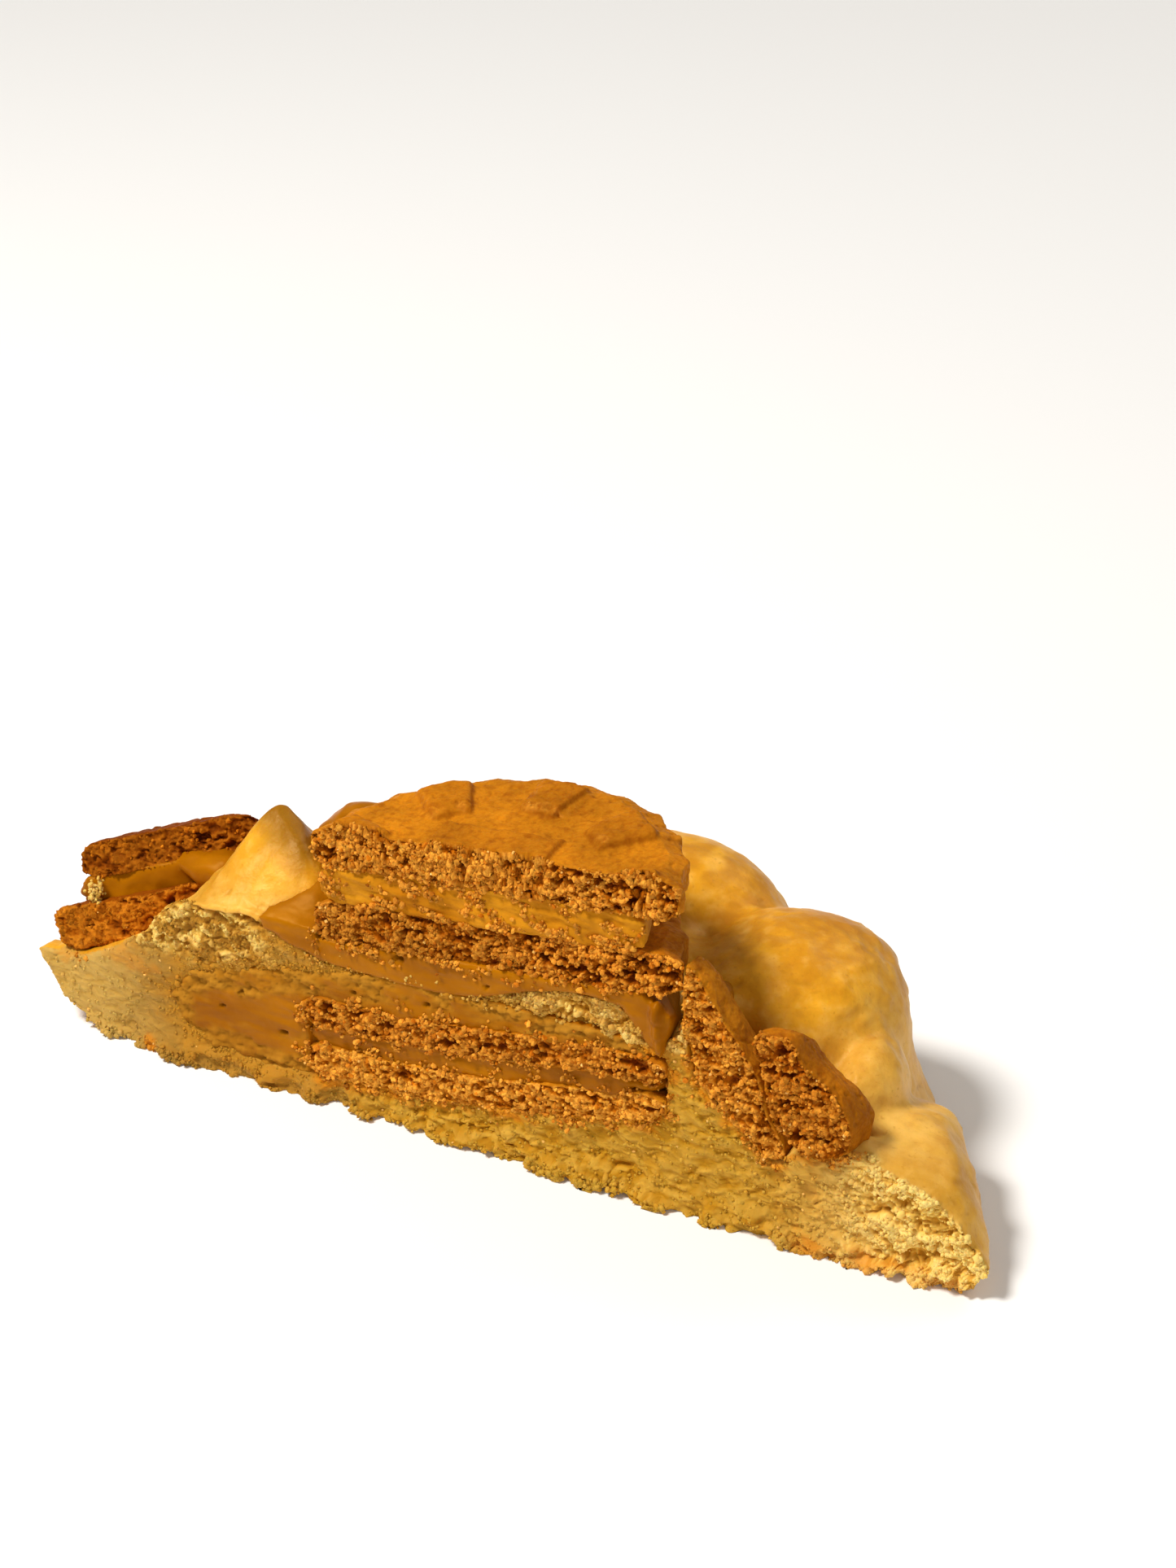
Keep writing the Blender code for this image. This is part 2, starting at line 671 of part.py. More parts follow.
def main():
    for thing in list(bpy.data.objects):
        bpy.data.objects.remove(thing)
    root = bpy.data.objects.new("cookie_half", None)
    bpy.context.scene.collection.objects.link(root)

    dough_finish = finish("baked_dough", (0.62, 0.40, 0.12), 0.7)
    biscuit_finish = finish("spiced_biscuit", (0.50, 0.20, 0.035), 0.8)
    cream_finish = finish("biscuit_cream", (0.55, 0.28, 0.08), 0.6)
    spread_finish = finish("biscuit_spread", (0.42, 0.18, 0.035), 0.35)
    dark_finish = finish("toasted_biscuit", (0.34, 0.11, 0.02), 0.75)
    sandwich_finishes = (biscuit_finish, cream_finish, biscuit_finish)

    # The pieces
    dough = make_dough("dough", 0.0, dough_finish, root)
    stack_names = ("top_biscuit_lower", "top_cream", "top_biscuit_upper")
    stack = make_sandwich(
        stack_names, STACK_CENTRE, stack_floor, STACK_LAYERS, sandwich_finishes, root, relief=border
    )
    core_names = ("inner_biscuit_lower", "inner_cream", "inner_biscuit_upper")
    core = make_sandwich(
        core_names, CORE_CENTRE, core_floor, CORE_LAYERS, sandwich_finishes, root, taper=squashed
    )
    pocket = make_pocket("inner_spread", 0.0, spread_finish, root)
    bed = make_bed(spread_finish, root)
    left_seat = make_left_chunk((dark_finish, spread_finish, dark_finish), root)
    steep = make_slab("right_chunk_steep", STEEP_CHUNK, STEEP_DEPTH, (0.0, 0.0), 0.0, biscuit_finish, root)
    flat = make_slab("right_chunk_flat", FLAT_CHUNK, FLAT_DEPTH, FLAT_SLANT, 0.0, biscuit_finish, root)

    # The hollows that they leave in each other
    stack_seat = make_seat("stack_seat", STACK_CENTRE, stack_floor, STACK_LAYERS, root, headroom=20.0)
    core_seat = make_seat("core_seat", CORE_CENTRE, core_floor, CORE_LAYERS, root, taper=squashed)
    pocket_seat = hide_cutter(make_pocket("pocket_seat", GAP, None, root))
    steep_seat = make_slab("steep_seat", STEEP_CHUNK, STEEP_DEPTH, (0.0, 0.0), SLAB_CLEARANCE, None, root)
    flat_seat = make_slab("flat_seat", FLAT_CHUNK, FLAT_DEPTH, FLAT_SLANT, SLAB_CLEARANCE, None, root)
    raised_dough = hide_cutter(make_dough("raised_dough", 1.3 * GAP, None, root))

    # The cut through the middle, rougher in crumb than in spread
    whole = ((-62.0, 56.0), (-4.0, 42.0))
    middle = ((-44.0, 24.0), (-2.0, 42.0))
    right = ((12.0, 40.0), (4.0, 32.0))
    dough_knife = knife("dough_knife", whole, DOUGH_CRUMB, 1, 2.7, root, stretch=1.6)
    pocket_knife = knife("pocket_knife", middle, SPREAD_CRUMB, 2, 3.0, root)
    bed_knife = knife("bed_knife", middle, SPREAD_CRUMB, 3, 3.0, root, offset=-0.2)
    steep_knife = knife("steep_knife", right, CHUNK_CRUMB, 12, 1.7, root, offset=0.2)
    flat_knife = knife("flat_knife", right, CHUNK_CRUMB, 13, 1.7, root, offset=-0.5)

    cut(dough, core_seat, pocket_seat, left_seat, steep_seat, flat_seat, dough_knife)
    cut(pocket, core_seat, pocket_knife)
    cut(bed, raised_dough, stack_seat, steep_seat, bed_knife)
    cut(steep, flat_seat, steep_knife)
    cut(flat, flat_knife)
    for number, piece in enumerate(stack + core):
        is_cream = number % 3 == 1
        crumb = CREAM_CRUMB if is_cream else BISCUIT_CRUMB
        step = 3.4 if is_cream else 2.0
        offset = (0.1, 0.4, -0.1)[number % 3]
        cut(piece, knife(piece.name + "_knife", middle, crumb, 4 + number, step, root, 2.4, offset))
    centre_on_base(root)


main()
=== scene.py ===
# %% [markdown]
# # A stuffed speculoos cookie, cut in half
#
# The real thing is a thick cookie of soft golden dough. A pocket of caramel brown spread and a
# sandwich biscuit lie inside it, another one sits on top in a bed of spread, and broken biscuit
# is pressed into the dough. The solids of all pieces are ready. This lesson turns each one into
# food: it refines the mesh, tears the crumb and gives it its finish.

# %% Load the solids
import math

import bpy
import numpy as np
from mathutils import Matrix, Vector, kdtree
from numpy.random import default_rng


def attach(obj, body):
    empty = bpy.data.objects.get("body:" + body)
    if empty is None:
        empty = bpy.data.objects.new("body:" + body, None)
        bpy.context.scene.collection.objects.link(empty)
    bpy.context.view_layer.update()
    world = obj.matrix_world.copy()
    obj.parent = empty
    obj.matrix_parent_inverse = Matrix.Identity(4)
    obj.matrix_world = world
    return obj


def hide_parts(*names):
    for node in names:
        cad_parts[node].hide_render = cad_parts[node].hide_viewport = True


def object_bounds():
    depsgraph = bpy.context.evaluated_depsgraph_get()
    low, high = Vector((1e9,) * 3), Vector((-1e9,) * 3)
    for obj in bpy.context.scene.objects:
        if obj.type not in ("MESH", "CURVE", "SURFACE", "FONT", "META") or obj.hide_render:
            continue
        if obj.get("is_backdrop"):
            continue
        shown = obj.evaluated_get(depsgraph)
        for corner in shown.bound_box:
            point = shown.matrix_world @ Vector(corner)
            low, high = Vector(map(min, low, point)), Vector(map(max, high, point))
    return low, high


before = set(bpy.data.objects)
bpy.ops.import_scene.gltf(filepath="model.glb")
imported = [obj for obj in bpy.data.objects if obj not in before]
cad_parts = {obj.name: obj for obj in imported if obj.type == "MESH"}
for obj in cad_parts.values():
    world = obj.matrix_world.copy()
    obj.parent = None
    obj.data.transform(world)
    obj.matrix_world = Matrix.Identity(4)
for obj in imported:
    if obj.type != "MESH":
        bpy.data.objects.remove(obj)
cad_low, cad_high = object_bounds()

print("solids:", sorted(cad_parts))

# %% [markdown]
# ## Places in millimetres
#
# Crumb is easiest to think about in millimetres, measured from the cut: X runs along it,
# Y goes back into the cookie and Z up from the base. These helpers read a mesh so and write it
# back. Arrays move a hundred thousand points at once, as a sculpting brush does.

# %% Read and move points
MM = 0.001
WELD = 0.01 * MM
CUT_PLACE = np.array([3.14, -17.79, 0.0])


def rows(items, what):
    """Three numbers for each vertex or face."""
    flat = np.empty(len(items) * 3)
    items.foreach_get(what, flat)
    return flat.reshape(-1, 3)


def points_of(piece):
    return rows(piece.data.vertices, "co") / MM - CUT_PLACE


def normals_of(piece):
    return rows(piece.data.vertices, "normal")


def move_to(piece, points):
    piece.data.vertices.foreach_set("co", ((points + CUT_PLACE) * MM).ravel())
    piece.data.update()


def paint(piece, name, values):
    """Stores one number for each point, for the finish to read."""
    layer = piece.data.attributes.new(name, "FLOAT", "POINT")
    layer.data.foreach_set("value", np.clip(values, 0.0, 1.0).astype(np.float32))


def rise(low, high, value):
    """0 below low, 1 above high and a soft step between."""
    share = np.clip((value - low) / (high - low), 0.0, 1.0)
    return share * share * (3.0 - 2.0 * share)


def fall(low, high, value):
    """1 below low and 0 above high."""
    return 1.0 - rise(low, high, value)


def bell(distance, width):
    """1 at no distance, fading away over the width."""
    return np.exp(-((distance / width) ** 2))


print("points can be read, moved and painted")

# %% [markdown]
# ## Two kinds of unevenness
#
# Baked food is uneven in two ways. It swells and sinks softly, and it breaks into angular
# grains with dark gaps between them. The first is a soft noise, the second finds the nearest
# grain for each point and how far its border is. Both are the same in each run.

# %% Soft hills and broken grains
def scrambled(cells, seed):
    """A number from 0 to 1 for each cell of a grid, without any order."""
    x, y, z = cells[:, 0], cells[:, 1], cells[:, 2]
    mix = (x * 73856093) ^ (y * 19349663) ^ (z * 83492791) ^ (seed * 40503 + 977)
    mix = (mix ^ (mix >> 13)) * 1274126177
    mix = mix ^ (mix >> 16)
    return (mix & 0xFFFFFF) / float(0xFFFFFF)


def swell(points, size, seed):
    """Soft hills and hollows from about -1 to 1, as wide as size."""
    place = points / np.asarray(size, float)
    cell = np.floor(place).astype(np.int64)
    part = place - cell
    ease = part**3 * (part * (part * 6.0 - 15.0) + 10.0)
    total = np.zeros(len(place))
    for corner in np.ndindex(2, 2, 2):
        corner = np.array(corner)
        slope = np.stack([scrambled(cell + corner, seed + k) for k in (1, 2, 3)], 1) * 2.0 - 1.0
        weight = np.prod(np.where(corner == 1, ease, 1.0 - ease), 1)
        total += weight * np.sum(slope * (part - corner), 1)
    return total * 1.7


def grains(points, size, seed):
    """Splits space into grains.

    Returns the distance to the middle of the grain and to its border, both in grain sizes,
    and a tone that each grain has for itself.
    """
    place = points / np.asarray(size, float)
    cell = np.floor(place).astype(np.int64)
    nearest, second = np.full(len(place), 9.0), np.full(len(place), 9.0)
    tone = np.zeros(len(place))
    for step in np.ndindex(3, 3, 3):
        near = cell + np.array(step) - 1
        middle = near + np.stack([scrambled(near, seed + k) for k in (1, 2, 3)], 1)
        gap = np.linalg.norm(middle - place, axis=1)
        closer = gap < nearest
        second = np.where(closer, nearest, np.minimum(second, gap))
        nearest = np.where(closer, gap, nearest)
        tone[closer] = scrambled(near, seed + 7)[closer]
    return nearest, second - nearest, tone


def layered(points, size, seed, layers):
    """Soft hills with finer and finer ones on top of them."""
    total = swell(points, size, seed)
    strength = 1.0
    for layer in range(1, layers):
        strength *= 0.6
        total = total + strength * swell(points, np.asarray(size) / 2.0**layer, seed + 97 * layer)
    return total


def warp(points, amount, size, seed, layers):
    """Points moved about by up to that amount, so that patterns on them lose their order."""
    moves = [layered(points, size, seed + k, layers) for k in range(3)]
    return points + amount * np.stack(moves, 1)


print("two kinds of unevenness are ready")

# %% [markdown]
# ## From a solid to a mesh that can be torn
#
# The solids have large flat faces, and a face can't get crumb that is smaller than itself. So
# each piece starts as a merged copy of its solid. A voxel remesh gives it small even faces,
# and a Smooth modifier melts the facets of the solid. The solid itself stays as it is.

# %% Copy, remesh and refine
def added(name, data):
    """A new object, linked to the scene."""
    thing = bpy.data.objects.new(name, data)
    bpy.context.scene.collection.objects.link(thing)
    return thing


def switch(mode):
    bpy.ops.object.mode_set(mode=mode)


def activate(piece):
    bpy.ops.object.select_all(action="DESELECT")
    piece.select_set(True)
    bpy.context.view_layer.objects.active = piece


def work(piece, kind, **settings):
    """Adds a modifier, sets it and applies it."""
    activate(piece)
    modifier = piece.modifiers.new(kind.title(), kind)
    for setting, value in settings.items():
        setattr(modifier, setting, value)
    bpy.ops.object.modifier_apply(modifier=modifier.name)


def mask(piece, weights):
    """A vertex group that tells a modifier where to work."""
    group = piece.vertex_groups.new(name="mask")
    for level in range(1, 5):
        chosen = np.nonzero(np.round(weights * 4.0) == level)[0]
        group.add(chosen.tolist(), level / 4.0, "REPLACE")
    return group.name


def remeshed(node, name, voxel, melt=2, fatten=0.0, forward=0.0, lumps=()):
    """A fine mesh of a solid.

    Fatten closes the clearance round it, and forward lets it come out of the cut by as much.
    Lumps are balls, each with its middle and half sizes, that melt into the piece.
    """
    piece = added(name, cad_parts[node].data.copy())
    piece.data.materials.clear()
    activate(piece)
    switch("EDIT")
    bpy.ops.mesh.select_all(action="SELECT")
    bpy.ops.mesh.remove_doubles(threshold=WELD)
    switch("OBJECT")
    points = points_of(piece)
    fat = points + normals_of(piece) * fatten
    fat[:, 1] = np.maximum(fat[:, 1], points[:, 1].min() - forward)
    move_to(piece, fat)
    switch("EDIT")
    for middle, half in lumps:
        place = (np.array(middle) + CUT_PLACE) * MM
        bpy.ops.mesh.primitive_ico_sphere_add(
            subdivisions=3, radius=1.0, location=tuple(place), scale=tuple(MM * h for h in half)
        )
    switch("OBJECT")
    work(piece, "REMESH", mode="VOXEL", voxel_size=voxel * MM)
    work(piece, "SMOOTH", factor=0.5, iterations=melt)
    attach(piece, "root")
    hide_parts(node)
    return piece


def refine(piece, chosen):
    """Cuts the chosen faces into four."""
    mesh = piece.data
    mesh.vertices.foreach_set("select", np.zeros(len(mesh.vertices), bool))
    mesh.edges.foreach_set("select", np.zeros(len(mesh.edges), bool))
    mesh.polygons.foreach_set("select", chosen)
    activate(piece)
    bpy.context.tool_settings.mesh_select_mode = (False, False, True)
    switch("EDIT")
    bpy.ops.mesh.subdivide(number_cuts=1)
    switch("OBJECT")


def faces_near_cut(piece, reach, turned=0.4):
    """Marks the faces that lie in the cut and look out of it."""
    faces = piece.data.polygons
    depth = rows(faces, "center")[:, 1] / MM - CUT_PLACE[1]
    return (np.abs(depth) < reach) & (-rows(faces, "normal")[:, 1] > turned)


def tell(piece):
    triangles = sum(len(p.vertices) - 2 for p in piece.data.polygons)
    print(f"{piece.name}: {triangles} triangles")


# %% [markdown]
# ## Small tools for finishes
#
# A finish is a node material. It reads the numbers that the sculpting stored, such as how deep
# a point lies between the grains, and turns them into colour, which paints shade into deep
# places. Noise on Object coordinates adds what is smaller than the mesh.

# %% Node helpers
def new_finish(name, roughness, gloss=0.5, warmth=(1.0, 0.72, 0.35)):
    """A material whose highlights are as warm as the food under them."""
    material = bpy.data.materials.new(name)
    material.use_nodes = True
    tree = material.node_tree
    shader = tree.nodes["Principled BSDF"]
    shader.inputs["Roughness"].default_value = roughness
    shader.inputs["Specular IOR Level"].default_value = gloss
    shader.inputs["Specular Tint"].default_value = (*warmth, 1.0)
    return material, tree, shader


def let_light_in(shader, weight, colour, depth):
    """Light goes into the food, to about that depth in millimetres."""
    shader.inputs["Subsurface Weight"].default_value = weight
    shader.inputs["Subsurface Radius"].default_value = colour
    shader.inputs["Subsurface Scale"].default_value = depth * MM


def feed(tree, socket, value):
    """Links a socket, or sets it when the value is a number or a colour."""
    if isinstance(value, bpy.types.NodeSocket):
        tree.links.new(value, socket)
    elif isinstance(value, tuple):
        socket.default_value = (*value, 1.0)
    else:
        socket.default_value = value


def stored(tree, name):
    node = tree.nodes.new("ShaderNodeAttribute")
    node.attribute_name = name
    return node.outputs["Fac"]


def speckle(tree, size, detail, stretch=(1.0, 1.0, 1.0)):
    """Noise with spots of that size in millimetres."""
    place = tree.nodes.new("ShaderNodeTexCoord")
    turn = tree.nodes.new("ShaderNodeMapping")
    turn.inputs["Scale"].default_value = stretch
    tree.links.new(place.outputs["Object"], turn.inputs["Vector"])
    node = tree.nodes.new("ShaderNodeTexNoise")
    node.inputs["Scale"].default_value = 1.0 / (size * MM)
    node.inputs["Detail"].default_value = detail
    tree.links.new(turn.outputs["Vector"], node.inputs["Vector"])
    return node.outputs["Fac"]


def spread_out(tree, value, low, high, first=0.0, last=1.0):
    """Maps the range from low to high onto first to last, and holds it there."""
    node = tree.nodes.new("ShaderNodeMapRange")
    feed(tree, node.inputs["Value"], value)
    node.inputs["From Min"].default_value = low
    node.inputs["From Max"].default_value = high
    node.inputs["To Min"].default_value = first
    node.inputs["To Max"].default_value = last
    return node.outputs["Result"]


def blend(tree, share, first, second, kind="MIX"):
    node = tree.nodes.new("ShaderNodeMix")
    node.data_type = "RGBA"
    node.blend_type = kind
    feed(tree, node.inputs[0], share)
    feed(tree, node.inputs[6], first)
    feed(tree, node.inputs[7], second)
    return node.outputs[2]


def coats(tree, colour, layers):
    """Lays colours over each other, each where its share is high."""
    for share, coat in layers:
        colour = blend(tree, share, colour, coat)
    return colour


def times(tree, first, second):
    node = tree.nodes.new("ShaderNodeMath")
    node.operation = "MULTIPLY"
    node.use_clamp = True
    feed(tree, node.inputs[0], first)
    feed(tree, node.inputs[1], second)
    return node.outputs[0]


def colours(tree, value, stops):
    """A colour ramp over stops of place and colour."""
    node = tree.nodes.new("ShaderNodeValToRGB")
    ramp = node.color_ramp
    while len(ramp.elements) < len(stops):
        ramp.elements.new(0.5)
    for element, (place, colour) in zip(ramp.elements, stops):
        element.position = place
        element.color = (*colour, 1.0)
    feed(tree, node.inputs["Fac"], value)
    return node.outputs["Color"]


def roughen(tree, shader, height, depth, strength):
    """Bump of that depth in millimetres."""
    node = tree.nodes.new("ShaderNodeBump")
    node.inputs["Strength"].default_value = strength
    node.inputs["Distance"].default_value = depth * MM
    tree.links.new(height, node.inputs["Height"])
    tree.links.new(node.outputs["Normal"], shader.inputs["Normal"])


print("node helpers are ready")

# %% [markdown]
# ## The finish of the biscuit
#
# Broken spiced biscuit is a mass of orange grains. Each grain has its own tone, the gaps
# between them get painted shade in dark brown, and here and there a sugar grain shines. Its
# baked outside is closed, smoother and evenly orange brown. Where it has drawn moisture from the
# dough it is darker and redder; on the lower wafer of the top sandwich this darkening is partly
# painted shade.

# %% Biscuit finish
def biscuit_finish(name, light, middle, dark, crust):
    material, tree, shader = new_finish(name, 0.75, 0.10, (1.0, 0.6, 0.2))
    fine = speckle(tree, 0.3, 4.0)
    hollow = stored(tree, "hollow")
    # The deeper a point of the torn face lies, the darker its colour: painted shade in gaps and
    # pores.
    torn = colours(tree, hollow, ((0.0, light), (0.42, middle), (0.95, dark)))
    tone = spread_out(tree, stored(tree, "tone"), 0.0, 1.0, 0.5, 1.25)
    torn = blend(tree, 1.0, torn, tone, "MULTIPLY")
    torn = blend(tree, spread_out(tree, fine, 0.3, 0.7, 0.4, 0.0), torn, dark)
    cloud = speckle(tree, 5.0, 5.0)
    skin = blend(tree, spread_out(tree, cloud, 0.35, 0.65), crust, tuple(0.68 * c for c in crust))
    freckle = speckle(tree, 0.8, 5.0)
    # The stored depth also darkens the crust: painted shade near torn edges, and a grain pattern.
    skin = coats(tree, skin, (
        (spread_out(tree, freckle, 0.5, 0.3, 0.0, 0.4), dark),
        (spread_out(tree, fine, 0.3, 0.7, 0.2, 0.0), dark),
        (times(tree, hollow, 0.8), dark),
        # Browner raised plate and bars, with painted shade along their edges.
        (times(tree, stored(tree, "mould_tone_and_edge_shade"), 0.5), dark),
    ))
    colour = blend(tree, stored(tree, "torn"), skin, torn)
    # Soaked biscuit goes darker and redder; on the lower wafer of the top sandwich this is partly
    # painted shade.
    soaked = blend(tree, stored(tree, "moist"), (1.0, 1.0, 1.0), (0.72, 0.56, 0.35))
    feed(tree, shader.inputs["Base Color"], blend(tree, 1.0, colour, soaked, "MULTIPLY"))
    feed(tree, shader.inputs["Roughness"], spread_out(tree, fine, 0.3, 0.7, 0.85, 0.5))
    let_light_in(shader, 0.12, (1.0, 0.35, 0.08), 0.5)
    roughen(tree, shader, fine, 0.08, 0.8)
    return material


spiced = biscuit_finish(
    "spiced_biscuit_crumb", light=(0.97, 0.45, 0.055), middle=(0.56, 0.160, 0.003),
    dark=(0.20, 0.030, 0.0005), crust=(0.68, 0.25, 0.008),
)
toasted = biscuit_finish(
    "toasted_biscuit_crumb", light=(0.70, 0.25, 0.014), middle=(0.37, 0.092, 0.002),
    dark=(0.11, 0.015, 0.0005), crust=(0.31, 0.075, 0.002),
)
print("biscuit finishes:", spiced.name, toasted.name)

# %% [markdown]
# ## Torn biscuit
#
# A cut through a sandwich biscuit isn't smooth: the knife breaks it. Long flat pores run
# along the layer, and angular grains of half a millimetre stand between them, each at its own
# height. The brush below moves the points of the torn face in and out by pores and grains,
# and the baked faces by much less. It also stores how deep each point lies, for painted shade.

# %% The tearing brush
BISCUIT_VOXEL = 0.14


def tear(piece, towards, seed, pore=0.7, grain=1.0, coarse=1.0, tones=(0.0, 1.0), moist=0.0):
    points = points_of(piece)
    normals = normals_of(piece)
    torn = rise(0.25, 0.65, normals @ np.asarray(towards, float))
    warped = warp(points, 0.3, 1.2, seed + 40, 2)
    clusters = rise(-0.35, 0.35, swell(points, (4.5, 4.5, 1.3), seed + 3))
    pores = rise(0.1, 0.6, layered(warped, np.array((1.8, 1.6, 0.7)) * coarse, seed, 3)) * clusters
    lumps = layered(warped, 1.5 * coarse, seed + 31, 4)
    inner, border, tone = grains(warped, np.array((0.75, 0.65, 0.55)) * coarse, seed + 11)
    _, small_border, small_tone = grains(warped, 0.36, seed + 23)
    blocks = 0.36 * (tone - 0.5) - 0.17 * fall(0.0, 0.3, border)
    grit = 0.22 * (small_tone - 0.5) - 0.09 * fall(0.0, 0.35, small_border)
    broken = layered(warped, np.array((0.8, 0.75, 0.6)) * coarse, seed + 27, 3)
    broken = np.sign(broken) * np.abs(broken) ** 0.6
    cracks = fall(0.02, 0.12, np.abs(swell(warped, (5.0, 4.0, 1.3), seed + 80)))
    cracks = cracks * rise(-0.1, 0.4, swell(points, (5.0, 5.0, 2.0), seed + 81))
    rough = 0.22 * lumps + 0.14 * broken + 0.7 * (blocks + grit)
    height = grain * rough - pore * np.maximum(pores, 0.6 * cracks)
    dimples = rise(0.25, 0.55, swell(points, 0.8, seed + 61))
    crust = 0.09 * layered(points, 1.8, seed + 50, 3) - 0.12 * dimples
    edge = np.clip(torn * (1.0 - torn) * 4.0, 0.0, 1.0)
    uneven = edge * (0.3 * swell(points, 0.9, seed + 71) + 0.45 * swell(points, 3.0, seed + 72))
    move = torn * height + (1.0 - torn) * crust + uneven
    move_to(piece, points + normals * move[:, None])
    # Stored for painted shade: the gaps and pores of the torn face, and a grain pattern on the
    # crust.
    gaps = torn * fall(-0.75, 0.22, height)
    paint(piece, "hollow", gaps + 0.3 * (1.0 - torn) * rise(0.5, 0.9, inner))
    paint(piece, "tone", tones[0] + (tones[1] - tones[0]) * (0.5 * tone + 0.5 * small_tone))
    paint(piece, "torn", torn)
    paint(piece, "moist", np.full(len(points), moist))


def torn_biscuit(node, finish, seed, towards=(0.0, -1.0, 0.0), fatten=0.15, melt=3, **brush):
    piece = remeshed(node, f"{node}_torn", BISCUIT_VOXEL, melt=melt, fatten=fatten)
    tear(piece, towards, seed, **brush)
    piece.data.materials.append(finish)
    piece.data.shade_smooth()
    tell(piece)
    return piece


# %% The sandwich on top and the one inside
# The lower wafer gets a darker tone range and more soak, partly as painted shade under the upper
# wafer.
top_lower = torn_biscuit(
    "top_biscuit_lower", spiced, 100, pore=0.95, grain=1.15, tones=(0.0, 0.8), moist=0.6
)
top_upper = torn_biscuit("top_biscuit_upper", spiced, 200, pore=0.8, grain=1.2, moist=0.35)
inner_lower = torn_biscuit("inner_biscuit_lower", spiced, 300, fatten=0.5, pore=0.55, grain=0.7)
inner_upper = torn_biscuit(
    "inner_biscuit_upper", spiced, 400, fatten=0.5, grain=0.85, tones=(0.0, 0.85), moist=0.55
)

# %% [markdown]
# ## The upper face of the biscuit
#
# Such biscuits come out of a mould with a raised plate in the middle and a border of raised
# bars. The bars are in the solid, but the remesh has melted them, so both are pressed up here
# with crisp edges that are a little worn.

# %% Raise the plate and the bars
BISCUIT_MIDDLE = (-2.4, -4.0)
PLATE_MIDDLE, PLATE_HALF, PLATE_RISE = (-3.0, -1.4), (6.0, 5.0), 0.55
BARS, BAR_BAND, BAR_RISE = 9.0, (11.4, 16.9), 0.45
points = points_of(top_upper)
facing_up = rise(0.2, 0.5, normals_of(top_upper)[:, 2])
worn = 0.10 * swell(points, 1.6, 251)
inside = np.minimum(*[PLATE_HALF[k] - np.abs(points[:, k] - PLATE_MIDDLE[k]) for k in (0, 1)])
plate = rise(-0.3, 0.3, inside + worn)
across, back = (points[:, k] - BISCUIT_MIDDLE[k] for k in (0, 1))
radius = np.hypot(across, back)
in_band = rise(-0.3, 0.3, np.minimum(radius - BAR_BAND[0], BAR_BAND[1] - radius) + worn)
bars = in_band * rise(0.0, 0.3, np.sin(BARS * np.arctan2(back, across) + 0.5) + 0.5 * worn)
points[:, 2] += facing_up * (PLATE_RISE * plate + BAR_RISE * bars)
move_to(top_upper, points)
# Raised plate and bars get a browner tone, and painted shade runs along their edges.
edges = np.maximum(plate * (1.0 - plate), bars * (1.0 - bars))
paint(top_upper, "mould_tone_and_edge_shade", facing_up * np.maximum(0.28 * np.maximum(plate, bars), 2.2 * edges))
print("points on the plate and the bars:", int((plate > 0.5).sum()), int((bars > 0.5).sum()))

# %% The broken pieces on both sides
LEFT_TEAR = (-0.36, -0.86, 0.36)
FLAT_TEAR = (-0.1, -0.92, 0.38)
left_lower = torn_biscuit(
    "left_biscuit_lower", toasted, 500, LEFT_TEAR, fatten=0.35, pore=0.4, grain=0.5,
    tones=(0.5, 1.0), moist=0.3,
)
left_upper = torn_biscuit(
    "left_biscuit_upper", toasted, 600, LEFT_TEAR, fatten=0.0, pore=0.45, grain=0.55,
    tones=(0.0, 0.65), moist=0.65,
)
steep_chunk = torn_biscuit(
    "right_chunk_steep", spiced, 700, fatten=0.35, melt=12, coarse=1.05, pore=0.6, grain=0.85,
    tones=(0.0, 0.95), moist=0.3,
)
flat_chunk = torn_biscuit(
    "right_chunk_flat", spiced, 800, FLAT_TEAR, fatten=0.3, melt=12, coarse=1.15, pore=0.85,
    moist=0.7,
)
points = points_of(flat_chunk)
worn_back = rise(0.8, 4.5, points[:, 1])
points[:, 1] -= 0.9 * worn_back
points[:, 2] += worn_back * (0.35 * swell(points, 2.6, 880) - 1.0 * rise(13.0, 18.0, points[:, 2]))
move_to(flat_chunk, points)

# %% [markdown]
# ## Spread and cream
#
# The caramel spread is smooth and glossy, with shallow knife marks and a few pores, which get
# painted shade. The cream in the sandwich biscuits is lighter and duller, and drags a little
# where it was cut. Both let some light in, which a small amount of subsurface scattering gives.

# %% Soft finishes
def soft_finish(name, light, dark, roughness, bump):
    material, tree, shader = new_finish(name, roughness, 0.17, (1.0, 0.55, 0.12))
    cloud = speckle(tree, 4.0, 5.0, (0.6, 1.0, 1.4))
    colour = blend(tree, spread_out(tree, cloud, 0.3, 0.7), light, dark)
    colour = blend(tree, stored(tree, "crumbly"), colour, (0.47, 0.205, 0.018))
    # Pores and the gaps of soaked crumb get this darker colour: painted shade.
    deep = tuple(0.4 * c for c in dark)
    colour = blend(tree, times(tree, stored(tree, "hollow"), 0.8), colour, deep)
    feed(tree, shader.inputs["Base Color"], colour)
    fine = speckle(tree, 0.6, 4.0)
    matt = spread_out(tree, stored(tree, "crumbly"), 0.0, 0.6, roughness, 0.9)
    feed(tree, shader.inputs["Roughness"], matt)
    let_light_in(shader, 0.05, (1.0, 0.4, 0.12), 1.2)
    roughen(tree, shader, fine, bump, 0.6)
    return material


